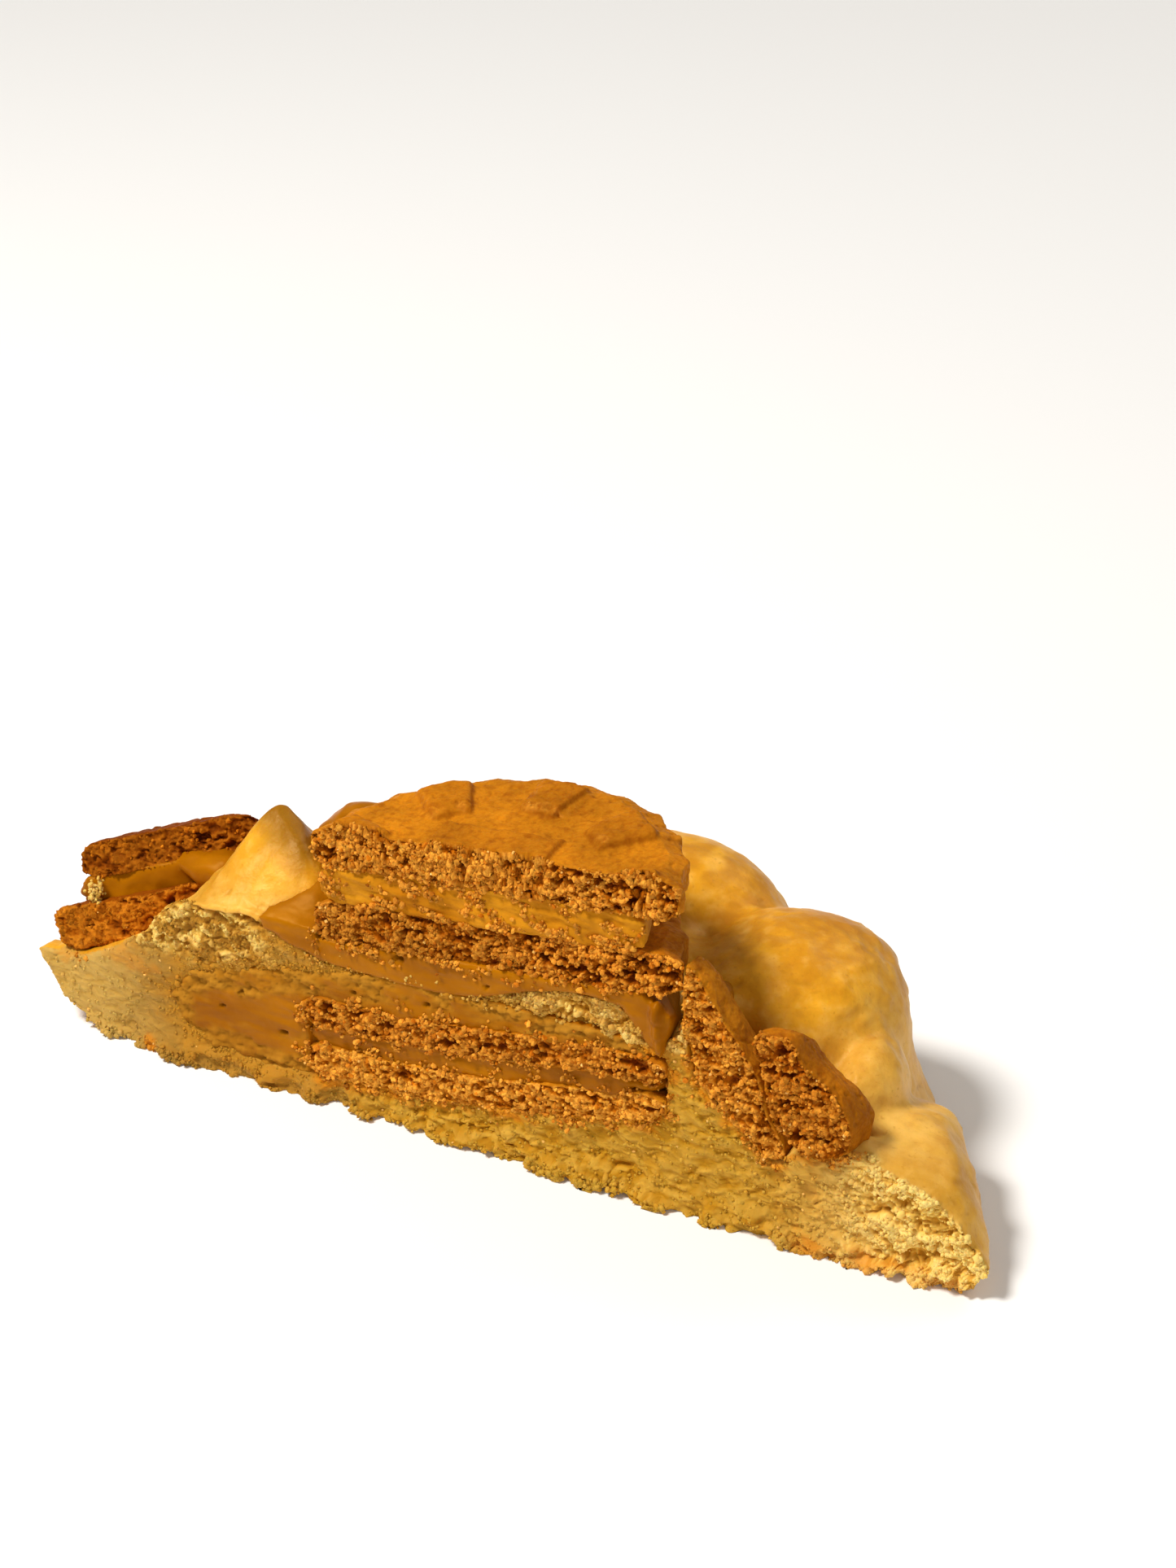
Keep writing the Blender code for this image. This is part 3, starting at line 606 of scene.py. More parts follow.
caramel = soft_finish(
    "caramel_spread", (0.41, 0.138, 0.0006), (0.265, 0.079, 0.0005), roughness=0.4, bump=0.04
)
cream = soft_finish(
    "biscuit_cream_smear", (0.64, 0.265, 0.010), (0.40, 0.128, 0.002), roughness=0.65, bump=0.14
)
print("soft finishes:", caramel.name, cream.name)

# %% [markdown]
# ## The dough
#
# The dough is one large piece with two very different surfaces. Its skin is closed, golden and
# softly wrinkled, and goes brown towards the base. Its cut shows a short crumb. The mesh is
# smoothed only on the skin, and made finer only in the cut.

# %% Remesh the dough, smooth its skin and refine its cut
DOUGH_LUMPS = (
    ((15.4, 3.6, 9.0), (1.6, 3.4, 3.6)),
    ((15.6, 3.6, 6.4), (1.8, 3.4, 2.6)),
    ((33.4, 1.9, 10.6), (3.0, 2.0, 1.1)),
    ((30.8, 10.2, 11.2), (3.4, 5.4, 4.6)),
    ((-48.4, 1.7, 7.5), (2.4, 1.5, 0.9)),
)
DOUGH_VOXEL, CUT_REACH = 0.42, 1.7
chance = default_rng(77)
EDGE_LUMPS = []
for place in np.arange(-37.0, 44.0, 2.2):
    half = chance.uniform((0.5, 0.45, 0.35), (1.8, 0.9, 0.95))
    middle = (place + chance.uniform(-1.6, 1.6), chance.uniform(0.0, 1.1), chance.uniform(0.5, 1.6))
    EDGE_LUMPS.append((middle, half))
dough = remeshed("dough", "dough_baked", DOUGH_VOXEL, lumps=(*DOUGH_LUMPS, *EDGE_LUMPS))
points = points_of(dough)
skin_share = rise(1.0, 3.0, points[:, 1]) * rise(0.3, 1.2, points[:, 2])
near_fold = rise(24.0, 27.0, -points[:, 0]) * fall(13.0, 17.0, points[:, 1])
smoothed = mask(dough, skin_share * (1.0 - 0.75 * near_fold))
work(dough, "SMOOTH", factor=0.5, iterations=25, vertex_group=smoothed)
for step in range(2):
    cut_faces = faces_near_cut(dough, CUT_REACH)
    refine(dough, cut_faces)
    print("faces made finer:", int(cut_faces.sum()))
tell(dough)

# %% [markdown]
# ## Spread and cream pieces
#
# A knife pulls soft spread into shallow waves and opens a small pore here and there. Where the
# pool inside the dough ends, it has soaked into the crumb: there its surface gets the grain and
# the colour of the dough, more so the nearer it is to the dough.

# %% Distances between pieces
def cut_points(piece, every=1):
    """The points of a piece that lie in the cut."""
    points = points_of(piece)
    return points[np.abs(points[:, 1]) < 2.0][::every]


def distance_to(cloud, points, chosen, reach=5.0):
    """Distance in millimetres from the chosen points to the nearest point of a cloud."""
    tree = kdtree.KDTree(len(cloud))
    for index, place in enumerate(cloud):
        tree.insert(place, index)
    tree.balance()
    found = np.full(len(points), reach)
    for index in np.nonzero(chosen)[0]:
        found[index] = min(reach, tree.find(points[index])[2])
    return found


def on_line(line, share):
    """Places on a line of points: a share of 1.5 is halfway from its second to its third."""
    steps = range(len(line))
    return np.stack([np.interp(share, steps, [p[k] for p in line]) for k in range(3)], -1)


dough_cloud = cut_points(dough)
print("dough points in the cut:", len(dough_cloud))

# %% The brush for soft pieces
SOFT_VOXEL = 0.22


def soft_piece(
    node, name, finish, seed, drag=0.10, fatten=0.45, forward=0.0, melt=5, soak=0.0,
    lumps=(), pores=(),
):
    piece = remeshed(node, name, SOFT_VOXEL, melt, fatten, forward, lumps)
    points = points_of(piece)
    normals = normals_of(piece)
    cut = rise(0.3, 0.7, -normals[:, 1]) * fall(1.5, 2.2, np.abs(points[:, 1]))
    marks = layered(points, (5.0, 3.0, 1.1), seed, 3)
    fine = swell(points, 0.5, seed + 17)
    soaked = np.zeros(len(points))
    if soak:
        ragged = layered(points, (3.5, 2.0, 1.8), seed + 3, 3)
        edge = distance_to(dough_cloud, points, cut > 0.05) + 0.6 * soak * ragged
        soaked = cut * fall(0.0, soak, edge)
    _, border, tone = grains(points, 0.6, seed + 30)
    crumb = 0.3 * (tone - 0.5) - 0.12 * fall(0.0, 0.3, border)
    crumb = crumb + 0.3 * layered(points, (2.0, 2.0, 0.9), seed + 31, 3)
    holes = np.zeros(len(points))
    for across, up, size in pores:
        away = np.hypot((points[:, 0] - across) / 1.6, points[:, 2] - up) + 0.25 * size * fine
        holes = np.maximum(holes, cut * np.exp(-((away / size) ** 4)))
    waves = 0.3 * rise(2.0, 4.0, points[:, 1]) * layered(points, (3.5, 3.0, 2.5), seed + 9, 2)
    move = cut * (drag * marks + 0.03 * fine) + soaked * crumb - 0.7 * holes + waves
    move_to(piece, points + normals * move[:, None])
    # Stored for painted shade: the pores, and the gaps between soaked grains.
    paint(piece, "hollow", soaked * fall(-0.35, 0.1, crumb) * 0.6 + holes)
    paint(piece, "crumbly", 0.9 * soaked)
    piece.data.materials.append(finish)
    piece.data.shade_smooth()
    tell(piece)
    return piece


# %% Cream and spread between the wafers
top_cream = soft_piece(
    "top_cream", "top_cream_smear", cream, 900, drag=0.3, forward=0.45
)
inner_cream = soft_piece(
    "inner_cream", "inner_cream_smear", caramel, 910, fatten=0.55, forward=0.4,
    lumps=(((12.4, 2.7, 12.0), (2.6, 2.7, 1.1)),),
)
left_cream = soft_piece(
    "left_cream", "left_channel_spread", caramel, 920, fatten=0.7, melt=9,
    lumps=(((-36.4, 8.3, 16.8), (4.4, 2.7, 1.8)),),
)

# %% The pool inside and the bed on top
POOL_PORES = (
    (-29.4, 9.6, 0.2), (-25.0, 6.4, 0.25), (-31.6, 7.4, 0.16), (-17.2, 13.2, 0.2), (-9.4, 14.3, 0.2)
)
inner_spread = soft_piece(
    "inner_spread", "inner_spread_pool", caramel, 930, fatten=0.9, soak=3.2,
    lumps=(((-20.5, 3.4, 7.0), (2.4, 3.4, 4.4)),), pores=POOL_PORES,
)
HEAP = (
    (-25.2, 7.8, 18.4), (-22.4, 11.0, 20.2), (-19.4, 12.6, 20.4), (-15.8, 14.0, 19.4),
    (-9.0, 15.6, 18.4),
)
HEAP_HALF = ((2.8, 2.4, 3.0), (4.0, 3.2, 6.2), (4.2, 3.0, 5.6), (4.4, 2.6, 3.8), (4.4, 2.0, 2.4))
SIDE_LUMPS = (
    ((16.6, 6.4, 17.2), (2.2, 3.8, 3.2)),
    ((15.2, 9.6, 16.4), (2.4, 3.0, 2.6)),
    ((12.4, 12.2, 15.6), (3.0, 2.6, 2.2)),
)
DRIP_LUMPS = (
    ((14.3, -0.3, 20.7), (0.6, 1.0, 1.4)),
    ((14.5, -0.3, 18.9), (0.55, 0.95, 1.4)),
    ((14.7, -0.2, 17.3), (0.5, 0.9, 1.2)),
)
heap = [(on_line(HEAP, share), on_line(HEAP_HALF, share)) for share in np.linspace(0.0, 4.0, 33)]
top_spread = soft_piece(
    "top_spread", "top_spread_bed", caramel, 940, drag=0.08, melt=16,
    lumps=(*SIDE_LUMPS, *DRIP_LUMPS, *heap),
    pores=((-12.2, 18.6, 0.32), (-3.0, 18.3, 0.14), (2.6, 19.1, 0.12)),
)

# %% [markdown]
# ## Crumb and skin of the dough
#
# The crumb tears in long flat fissures with fine grain between them. They come in patches, and
# they are coarser at the right end, at the upper left and in the pale hump over the filling.
# The skin only gets soft wrinkles and a few pits.

# %% How far the dough is from its fillings
LIP_HEIGHT, LIP_BEND = 18.1, 36.5  # the fold's lip falls off to the left of its bend
FOLD_START, FOLD_END = (24.2, 25.2), (40.5, 42.0)
points = points_of(dough)
normals = normals_of(dough)
leftward = -points[:, 0]
lip = LIP_HEIGHT - np.maximum(leftward - LIP_BEND, 0.0)
lip = lip + 0.4 * layered(points, (2.4, 2.4, 9.0), 45, 2)
on_fold = rise(*FOLD_START, leftward) * fall(*FOLD_END, leftward)
over_lip = points[:, 2] - lip
cut = rise(0.2, 0.6, -normals[:, 1]) * fall(1.3, 2.0, np.abs(points[:, 1]))
cut = cut * (1.0 - on_fold * rise(-0.15, 0.15, over_lip))
in_cut = cut > 0.05
biscuits = [inner_lower, inner_upper, steep_chunk, flat_chunk, left_lower]
spreads = [inner_spread, top_spread, inner_cream]
from_biscuit = distance_to(np.concatenate([cut_points(p, 6) for p in biscuits]), points, in_cut)
from_spread = distance_to(np.concatenate([cut_points(p, 4) for p in spreads]), points, in_cut)
print("points near a filling:", int((from_biscuit < 1.6).sum()), int((from_spread < 2.4).sum()))

# %% Where the crumb is coarse or soft
x, y, z = points.T
right_end = rise(29.0, 39.0, x)
left_end = rise(22.0, 30.0, -x) * rise(10.5, 13.5, z) * fall(40.0, 46.0, -x)
over_pool = rise(-0.3, 0.6, z - 12.9 - 0.13 * (x + 14.0))
hump = over_pool * rise(-18.0, -13.0, x) * (1.0 - 0.4 * rise(2.0, -4.0, x))
coarse = np.clip(right_end + left_end + hump, 0.0, 1.0)
soft = fall(0.5, 3.5, from_spread) * (1.0 - coarse)
calm = np.maximum(0.6 * soft, 0.5 * rise(20.0, 30.0, -x) * (1.0 - 0.8 * left_end))
print("points in coarse crumb:", int((coarse > 0.5).sum()))

# %% Sculpt the crumb
FLAKE, FISSURE, PIT, GRAIN, CLUMP, CRACK = 0.22, 0.08, 0.12, 0.18, 0.38, 0.26
warped = warp(points, 0.45, 1.8, 10, 1)
patchy = rise(-0.3, 0.4, swell(points, (8.0, 8.0, 4.0), 20))
flakes = layered(warped, (2.6, 2.2, 1.15), 21, 3)
fissures = fall(0.03, 0.2, np.abs(swell(warped, (6.0, 5.0, 1.9), 22))) * patchy
pits = rise(0.25, 0.7, layered(warped, (1.2, 1.2, 0.6), 26, 2)) * patchy
_, crumb_border, crumb_tone = grains(warped, (0.7, 0.6, 0.45), 24)
relief = FLAKE * flakes - FISSURE * fissures - PIT * pits
grit = GRAIN * (crumb_tone - 0.5) - 0.04 * fall(0.0, 0.3, crumb_border)
relief = (relief + grit * (0.25 + 0.75 * patchy)) * (1.0 - calm)
torn_points = warp(points, 0.9, 2.2, 60, 3)
crags = layered(torn_points, (2.6, 2.2, 1.7), 29, 4)
_, lump_border, lump_tone = grains(torn_points, (1.5, 1.2, 0.8), 23)
big_cracks = fall(0.03, 0.17, np.abs(swell(torn_points, (4.4, 4.0, 2.2), 28)))
rough = CLUMP * np.sign(crags) * np.abs(crags) ** 0.7
rough = rough - (CRACK + 0.14 * left_end) * big_cracks
rough = rough + 0.35 * (lump_tone - 0.5) - 0.10 * fall(0.0, 0.25, lump_border)
relief = relief + coarse * rough * (1.0 - 0.3 * left_end)
under_lip = on_fold * bell(over_lip + 0.35, 0.3)
relief = relief - 0.5 * under_lip * rise(-0.4, 0.3, swell(points, 3.0, 46))
print("relief of the crumb in mm:", relief.min().round(1), "to", relief.max().round(1))

# %% Sculpt the skin
skin = (1.0 - cut) * rise(-0.5, 0.2, normals[:, 2] + 0.3) * rise(0.1, 0.6, z)
on_lobes = rise(-24.0, -20.0, x - y)
bent = warp(points, 0.9, 3.0, 80, 2)
wrinkles = (0.05 + 0.12 * on_lobes + 0.06 * on_fold) * layered(bent, (3.6, 5.0, 5.0), 31, 3)
wrinkles = wrinkles + (0.05 + 0.05 * on_fold) * swell(points, 1.2, 32)
drapes = rise(20.0, 28.0, x) * rise(2.0, 6.0, y) * layered(bent, (2.8, 3.6, 10.0), 36, 2)
pits = rise(0.62, 0.85, swell(points, 0.9, 33)) * rise(0.1, 0.5, swell(points, 4.0, 37))
creases = fall(0.02, 0.14, np.abs(swell(bent, (5.0, 5.0, 3.5), 34)))
creases = creases * on_lobes * rise(0.25, 0.6, swell(points, 4.5, 35))
skin_relief = wrinkles + 0.2 * drapes - 0.08 * pits - 0.10 * creases
skin_relief = skin_relief + 0.25 * on_fold * bell(over_lip - 0.3, 0.4)
points = points + normals * (cut * relief + skin * skin_relief + 0.05)[:, None]
print("points in the skin:", int((skin > 0.5).sum()))

# %% [markdown]
# ## Pushes and a pinch
#
# The dough was pushed together round the biscuits. Each push moves a whole bump, and the pinch
# makes the ridge of the fold thin. Along the base the cut broke unevenly.

# %% Push the bumps and pinch the fold
PUSHES = (  # the middle of each, its reach and its move
    ((-36.6, 2.4, 18.6), 3.0, (0.2, 0.3, -2.1)),
    ((30.2, 23.5, 9.0), 5.0, (-0.8, -0.3, 0.0)),
    ((37.2, 13.2, 8.3), 3.0, (0.7, 0.3, 0.2)),
)
FOLD_FOOT, FOLD_TIP = np.array([-38.5, 0.0, 17.0]), np.array([-30.0, 10.0, 24.6])
PINCH, RIDGE_PULL = 0.58, np.array([-0.3, 0.0, 1.2])
points[:, 0] += 0.8 * rise(34.0, 45.0, points[:, 0]) * rise(0.8, 4.0, z)
for middle, reach, push in PUSHES:
    near = bell(np.linalg.norm(points - np.array(middle), axis=1), reach) * (1.0 - cut)
    points += near[:, None] * np.array(push)
ridge = FOLD_TIP - FOLD_FOOT
along = np.clip((points - FOLD_FOOT) @ ridge / np.sum(ridge**2), 0.0, 1.0)
to_ridge = FOLD_FOOT + along[:, None] * ridge - points
from_ridge = np.linalg.norm(to_ridge, axis=1)
on_ridge = skin * rise(0.4, 0.9, along)
to_ridge[:, 2] = 0.0
points += (PINCH * bell(from_ridge, 2.6) * on_ridge)[:, None] * to_ridge
points += (bell(from_ridge, 1.2) * on_ridge)[:, None] * RIDGE_PULL
print("points on the ridge:", int((on_ridge > 0.5).sum()))

# %% Break the base edge
FRONT_LIMIT = -1.8  # the foot of the dough bulges this far out of the cut
ragged = -0.9 - 0.3 * rise(2.0, 8.0, x) * fall(33.0, 38.0, x) + 0.8 * rise(38.0, 44.0, -x)
clods = layered(points, (4.6, 9.0, 2.6), 41, 3) * (1.0 - 0.6 * rise(20.0, 36.0, -x))
ragged = np.clip(ragged - 1.0 * np.sign(clods) * np.abs(clods) ** 0.6, FRONT_LIMIT, 0.6)
near_edge = fall(0.0, 3.4, z) * fall(1.0, 6.0, y)
points[:, 1] = np.maximum(points[:, 1] + ragged * near_edge, FRONT_LIMIT)
points[:, 2] = np.maximum(points[:, 2], 0.0)
move_to(dough, points)
print("points in the base edge:", int((near_edge > 0.5).sum()))

# %% [markdown]
# ## Stains in the dough
#
# Where dough touches biscuit or spread it takes on their colour, and the stain fades with the
# distance that the search tree found.

# %% Find the stained and browned places, and where light and shadow are painted
SPOT, SEAT = np.array([-39.6, 0.0, 0.6]), (-41.8, 9.6)
patches = layered(points, (3.0, 3.0, 1.6), 51, 3)
# How deep the crumb lies, used for painted shade in its fissures and for placing crumbs.
depth = fall(-0.6, 0.25, relief)
burnt = 0.8 * rise(27.0, 31.0, x) * fall(0.4, 1.7, z + 1.2 * patches)
spot = fall(0.8, 1.4, np.linalg.norm(points - SPOT, axis=1))
# Paler skin towards the lower right of the lobes and at the low foot of the fold: partly paler
# dough, partly painted light.
on_right = rise(24.0, 33.0, x + 0.6 * (16.0 - z) - 1.5 * patches)
pale_skin_and_painted_light = on_right + 0.8 * on_fold * fall(18.5, 22.0, z)
flaky = left_end * rise(-0.15, 0.35, layered(torn_points, (2.6, 2.0, 1.1), 55, 2))
from_seat = np.hypot((x - SEAT[0]) / 2.6, (z - SEAT[1]) / 1.3) + 0.7 * swell(points, 1.2, 56)
scorched = 0.45 - 0.45 * rise(0.5, 1.4, from_seat)
soaked = fall(0.1, 1.3, from_biscuit - 0.8 * patches)
stained = fall(0.0, 3.2, from_spread - 1.4 * patches)
# Brown at the fold tip, reaching further down its right side: partly baked colour, partly painted
# shadow.
tip_tan = rise(21.8, 24.6, points[:, 2] + 0.3 * patches + 0.3 * (x + 30.0)) * on_fold
top_tan = 0.7 * rise(0.7, 0.97, normals[:, 2]) * on_lobes * rise(8.0, 14.0, y)
rim_tan = fall(0.3, 4.0, z + patches)
rim_tan = rim_tan * (1.0 - 0.75 * rise(26.0, 34.0, x) * fall(8.0, 14.0, y))
print("orange points:", int((cut * soaked > 0.5).sum()))

# %% Paint the dough
look = {
    "cut": cut,
    # Painted shade in the fissures of the crumb and in the pits and creases of the skin.
    "hollow": cut * depth + skin * np.clip(0.35 * pits + 0.35 * creases, 0.0, 1.0),
    "tone": crumb_tone,
    "orange": cut * np.maximum.reduce([soaked, burnt, spot, scorched]),
    "stain": cut * np.maximum(stained, 0.5 * (left_end - flaky)),
    "pale": cut * np.clip(right_end + 0.75 * flaky + 0.35 * rise(36.0, 46.0, -x) + hump, 0.0, 1.0),
    "low": np.maximum(rim_tan, top_tan * rise(-0.5, 0.4, patches)) * (1.0 - cut),
    "tan": tip_tan * fall(13.0, 16.0, y) * (1.0 - cut),
    "pale_and_painted_light": cut * rise(22.0, 34.0, x) + (1.0 - cut) * pale_skin_and_painted_light,
    # The cut is made darker and greyer towards its left end.
    "dull": cut * rise(12.0, 24.0, -x) * (1.0 - 0.8 * flaky),
}
for name, values in look.items():
    paint(dough, name, values)
print("painted:", *look)

# %% [markdown]
# ## The finish of the dough
#
# The crumb is a warm golden yellow with pale grains, and its fissures get painted shade. The skin
# is deeper in colour, a little glossy with butter, and browns near the tray; its pits and creases
# get painted shade.

# %% Dough finish
dough_finish, tree, shader = new_finish("golden_dough", 0.6, 0.3)
fine = speckle(tree, 0.5, 5.0)
cloud = speckle(tree, 7.0, 5.0)
mottle = speckle(tree, 1.6, 6.0)
hollow = stored(tree, "hollow")
freckle = speckle(tree, 0.45, 2.0)
# Deeper crumb gets the darker colours of these ramps: painted shade.
CRUMB = ((0.0, (0.54, 0.300, 0.036)), (0.4, (0.45, 0.209, 0.007)), (0.95, (0.37, 0.130, 0.001)))
PALE_CRUMB = ((0.0, (0.98, 0.70, 0.22)), (0.5, (0.88, 0.54, 0.100)), (1.0, (0.50, 0.21, 0.008)))
BROWN = (0.46, 0.17, 0.006)
tones = spread_out(tree, stored(tree, "tone"), 0.0, 1.0, 0.88, 1.1)
crumb = coats(tree, colours(tree, hollow, CRUMB), (
    (times(tree, stored(tree, "pale_and_painted_light"), 0.6), (0.60, 0.335, 0.070)),
    (times(tree, stored(tree, "dull"), 0.8), (0.30, 0.145, 0.022)),
))
crumb = coats(tree, blend(tree, 1.0, crumb, tones, "MULTIPLY"), (
    (times(tree, stored(tree, "pale"), 0.9), colours(tree, hollow, PALE_CRUMB)),
    (times(tree, stored(tree, "stain"), 0.8), (0.47, 0.20, 0.012)),
    (times(tree, stored(tree, "orange"), 0.8), (0.62, 0.20, 0.003)),
))
clouded = spread_out(tree, cloud, 0.35, 0.65)
# Paler colour for the right of the cut and the skin, partly painted light on the skin.
pale_and_painted_light = blend(tree, clouded, (0.79, 0.445, 0.078), (0.61, 0.29, 0.024))
gold = coats(tree, blend(tree, clouded, (0.80, 0.375, 0.016), (0.58, 0.235, 0.006)), (
    (stored(tree, "pale_and_painted_light"), pale_and_painted_light),
    (spread_out(tree, mottle, 0.5, 0.72, 0.0, 0.35), (0.92, 0.56, 0.13)),
    (spread_out(tree, mottle, 0.46, 0.28, 0.0, 0.35), BROWN),
    (spread_out(tree, freckle, 0.62, 0.75, 0.0, 0.4), BROWN),
    # Pits and creases of the skin get a darker colour: painted shade.
    (times(tree, hollow, 0.8), (0.30, 0.095, 0.003)),
    # The fold tip goes brown, more on its right side: partly baked colour, partly painted shadow.
    (times(tree, stored(tree, "tan"), 0.9), (0.25, 0.095, 0.001)),
    (times(tree, stored(tree, "low"), 0.8), (0.44, 0.155, 0.006)),
))
feed(tree, shader.inputs["Base Color"], blend(tree, stored(tree, "cut"), gold, crumb))
feed(tree, shader.inputs["Roughness"], spread_out(tree, stored(tree, "cut"), 0.0, 1.0, 0.42, 0.75))
let_light_in(shader, 0.22, (1.0, 0.45, 0.12), 1.0)
roughen(tree, shader, fine, 0.1, 0.7)
dough.data.materials.append(dough_finish)
dough.data.shade_smooth()
print("dough finish:", dough_finish.name)

# %% [markdown]
# ## Loose crumbs
#
# A knife leaves crumbs. They stand out from the torn faces, roll over the cream and hang from
# the base edge. One rough ball is modelled four times with other dents. Copies of it, each
# turned and stretched by chance, are joined into one mesh for each kind of crumb.

# %% Crumb shapes
def taken_apart(thing):
    """The corners and faces of an object, which is then removed."""
    corners = np.array([v.co[:] for v in thing.data.vertices])
    faces = np.array([f.vertices[:] for f in thing.data.polygons])
    bpy.data.objects.remove(thing)
    return corners, faces


def crumb_shapes(dent=0.35):
    shapes = []
    for seed in range(4):
        bpy.ops.mesh.primitive_ico_sphere_add(subdivisions=1, radius=1.0)
        ball = bpy.context.object
        switch("EDIT")
        bpy.ops.mesh.select_all(action="SELECT")
        bpy.ops.transform.vertex_random(offset=dent, seed=seed)
        switch("OBJECT")
        shapes.append(taken_apart(ball))
    return shapes


def random_turns(chance, count):
    """Rotation matrices without any preferred direction."""
    a, b, c, d = chance.normal(size=(4, count))
    a, b, c, d = (v / np.sqrt(a * a + b * b + c * c + d * d) for v in (a, b, c, d))
    rows = [
        [1 - 2 * (c * c + d * d), 2 * (b * c - d * a), 2 * (b * d + c * a)],
        [2 * (b * c + d * a), 1 - 2 * (b * b + d * d), 2 * (c * d - b * a)],
        [2 * (b * d - c * a), 2 * (c * d + b * a), 1 - 2 * (b * b + c * c)],
    ]
    return np.array(rows).transpose(2, 0, 1)


def scatter(name, finish, shapes, places, sizes, looks, seed, smooth=True):
    """One joined mesh of crumbs. Looks holds a number per crumb for each attribute."""
    chance = default_rng(seed)
    turns = random_turns(chance, len(places))
    stretch = sizes[:, None] * chance.uniform(0.75, 1.3, (len(places), 3))
    kinds = chance.integers(0, len(shapes), len(places))
    corners, faces, owners, start = [], [], [], 0
    for kind, (shape, polygons) in enumerate(shapes):
        mine = np.nonzero(kinds == kind)[0]
        grown = shape[None, :, :] * stretch[mine][:, None, :]
        turned = np.einsum("nij,nkj->nki", turns[mine], grown) + places[mine][:, None, :]
        corners.append(turned.reshape(-1, 3))
        steps = start + len(shape) * np.arange(len(mine))
        faces.append((polygons[None, :, :] + steps[:, None, None]).reshape(-1, polygons.shape[1]))
        owners.append(np.repeat(mine, len(shape)))
        start += len(shape) * len(mine)
    corners, faces, owners = (np.concatenate(part) for part in (corners, faces, owners))
    corners[:, 1:] = np.maximum(corners[:, 1:], (FRONT_LIMIT - 0.2, 0.0))
    mesh = bpy.data.meshes.new(name)
    mesh.from_pydata(((corners + CUT_PLACE) * MM).tolist(), [], faces.tolist())
    piece = added(name, mesh)
    for attribute, values in looks.items():
        paint(piece, attribute, values[owners])
    mesh.materials.append(finish)
    if smooth:
        mesh.shade_smooth()
    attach(piece, "root")
    tell(piece)


def read(piece, name):
    values = np.empty(len(piece.data.vertices), np.float32)
    piece.data.attributes[name].data.foreach_get("value", values)
    return values.astype(float)


def strew(piece, weights, count, seed, sink):
    """Picks points of a piece by weight. Returns their numbers and places just over them."""
    chance = default_rng(seed)
    picked = chance.choice(len(weights), count, p=weights / weights.sum())
    above = chance.uniform(*sink, count)
    jitter = chance.normal(0.0, 0.06, (count, 3))
    return picked, points_of(piece)[picked] + normals_of(piece)[picked] * above[:, None] + jitter


shapes = crumb_shapes()
print("crumb shapes:", len(shapes))

# %% Biscuit crumbs
def biscuit_crumbs(name, finish, hosts, spills, seed):
    """Grains on the torn faces of the hosts and spilled over the soft pieces beside them."""
    places, tones, moist = [], [], []
    chance = default_rng(seed)
    for host, count in hosts:
        weights = read(host, "torn") ** 3 * (1.02 - read(host, "hollow")) ** 2
        picked, found = strew(host, weights, count, seed + len(places), (-0.16, 0.05))
        places.append(found)
        tones.append(0.15 + 0.85 * chance.random(count))
        moist.append(read(host, "moist")[picked])
    for host, neighbours, reach, count in spills:
        points = points_of(host)
        facing = rise(0.3, 0.7, -normals_of(host)[:, 1])
        cloud = np.concatenate([cut_points(p, 8) for p in neighbours])
        away = distance_to(cloud, points, facing > 0.05)
        weights = facing * bell(away, reach)
        weights = weights * rise(-0.1, 0.6, layered(points, (3.0, 2.0, 1.6), seed, 2))
        picked, found = strew(host, weights, count, seed + 50 + len(places), (0.0, 0.16))
        places.append(found)
        tones.append(chance.random(count))
        moist.append(np.full(count, 0.3))
    places, tones, moist = (np.concatenate(part) for part in (places, tones, moist))
    count = len(places)
    sizes = chance.uniform(0.08, 0.20, count) * chance.choice([1.0, 1.0, 1.0, 1.6], count)
    looks = {"torn": np.ones(count), "tone": tones, "moist": moist}
    looks["hollow"] = 0.4 * chance.random(count) ** 2
    scatter(name, finish, shapes, places, sizes, looks, seed, smooth=False)


biscuit_crumbs(
    "spiced_biscuit_crumbs", spiced,
    hosts=[
        (top_lower, 1400), (top_upper, 1500), (inner_lower, 900), (inner_upper, 900),
        (steep_chunk, 600), (flat_chunk, 520),
    ],
    spills=[
        (top_cream, [top_lower, top_upper], 1.3, 1050),
        (inner_cream, [inner_lower, inner_upper], 1.0, 340),
        (top_spread, [top_lower], 0.9, 260),
        (inner_spread, [inner_upper, inner_lower], 1.0, 400),
        (dough, [inner_lower, steep_chunk, flat_chunk, left_lower], 0.7, 460),
    ],
    seed=1000,
)
biscuit_crumbs(
    "toasted_biscuit_crumbs", toasted,
    hosts=[(left_lower, 240), (left_upper, 120)],
    spills=[(left_cream, [left_lower, left_upper], 0.8, 40)],
    seed=1100,
)

# %% Dough crumbs
def dough_crumbs(name, weights, count, low, high, seed, sink):
    chance = default_rng(seed)
    picked, places = strew(dough, weights, count, seed, sink)
    sizes = low + (high - low) * chance.random(count) ** 2.0
    looks = {key: look[key][picked] for key in ("orange", "stain", "pale", "pale_and_painted_light", "dull")}
    looks.update(
        cut=np.ones(count), tone=chance.random(count), hollow=0.3 * chance.random(count),
        low=np.zeros(count), tan=np.zeros(count),
    )
    scatter(name, dough_finish, shapes, places, sizes, looks, seed)


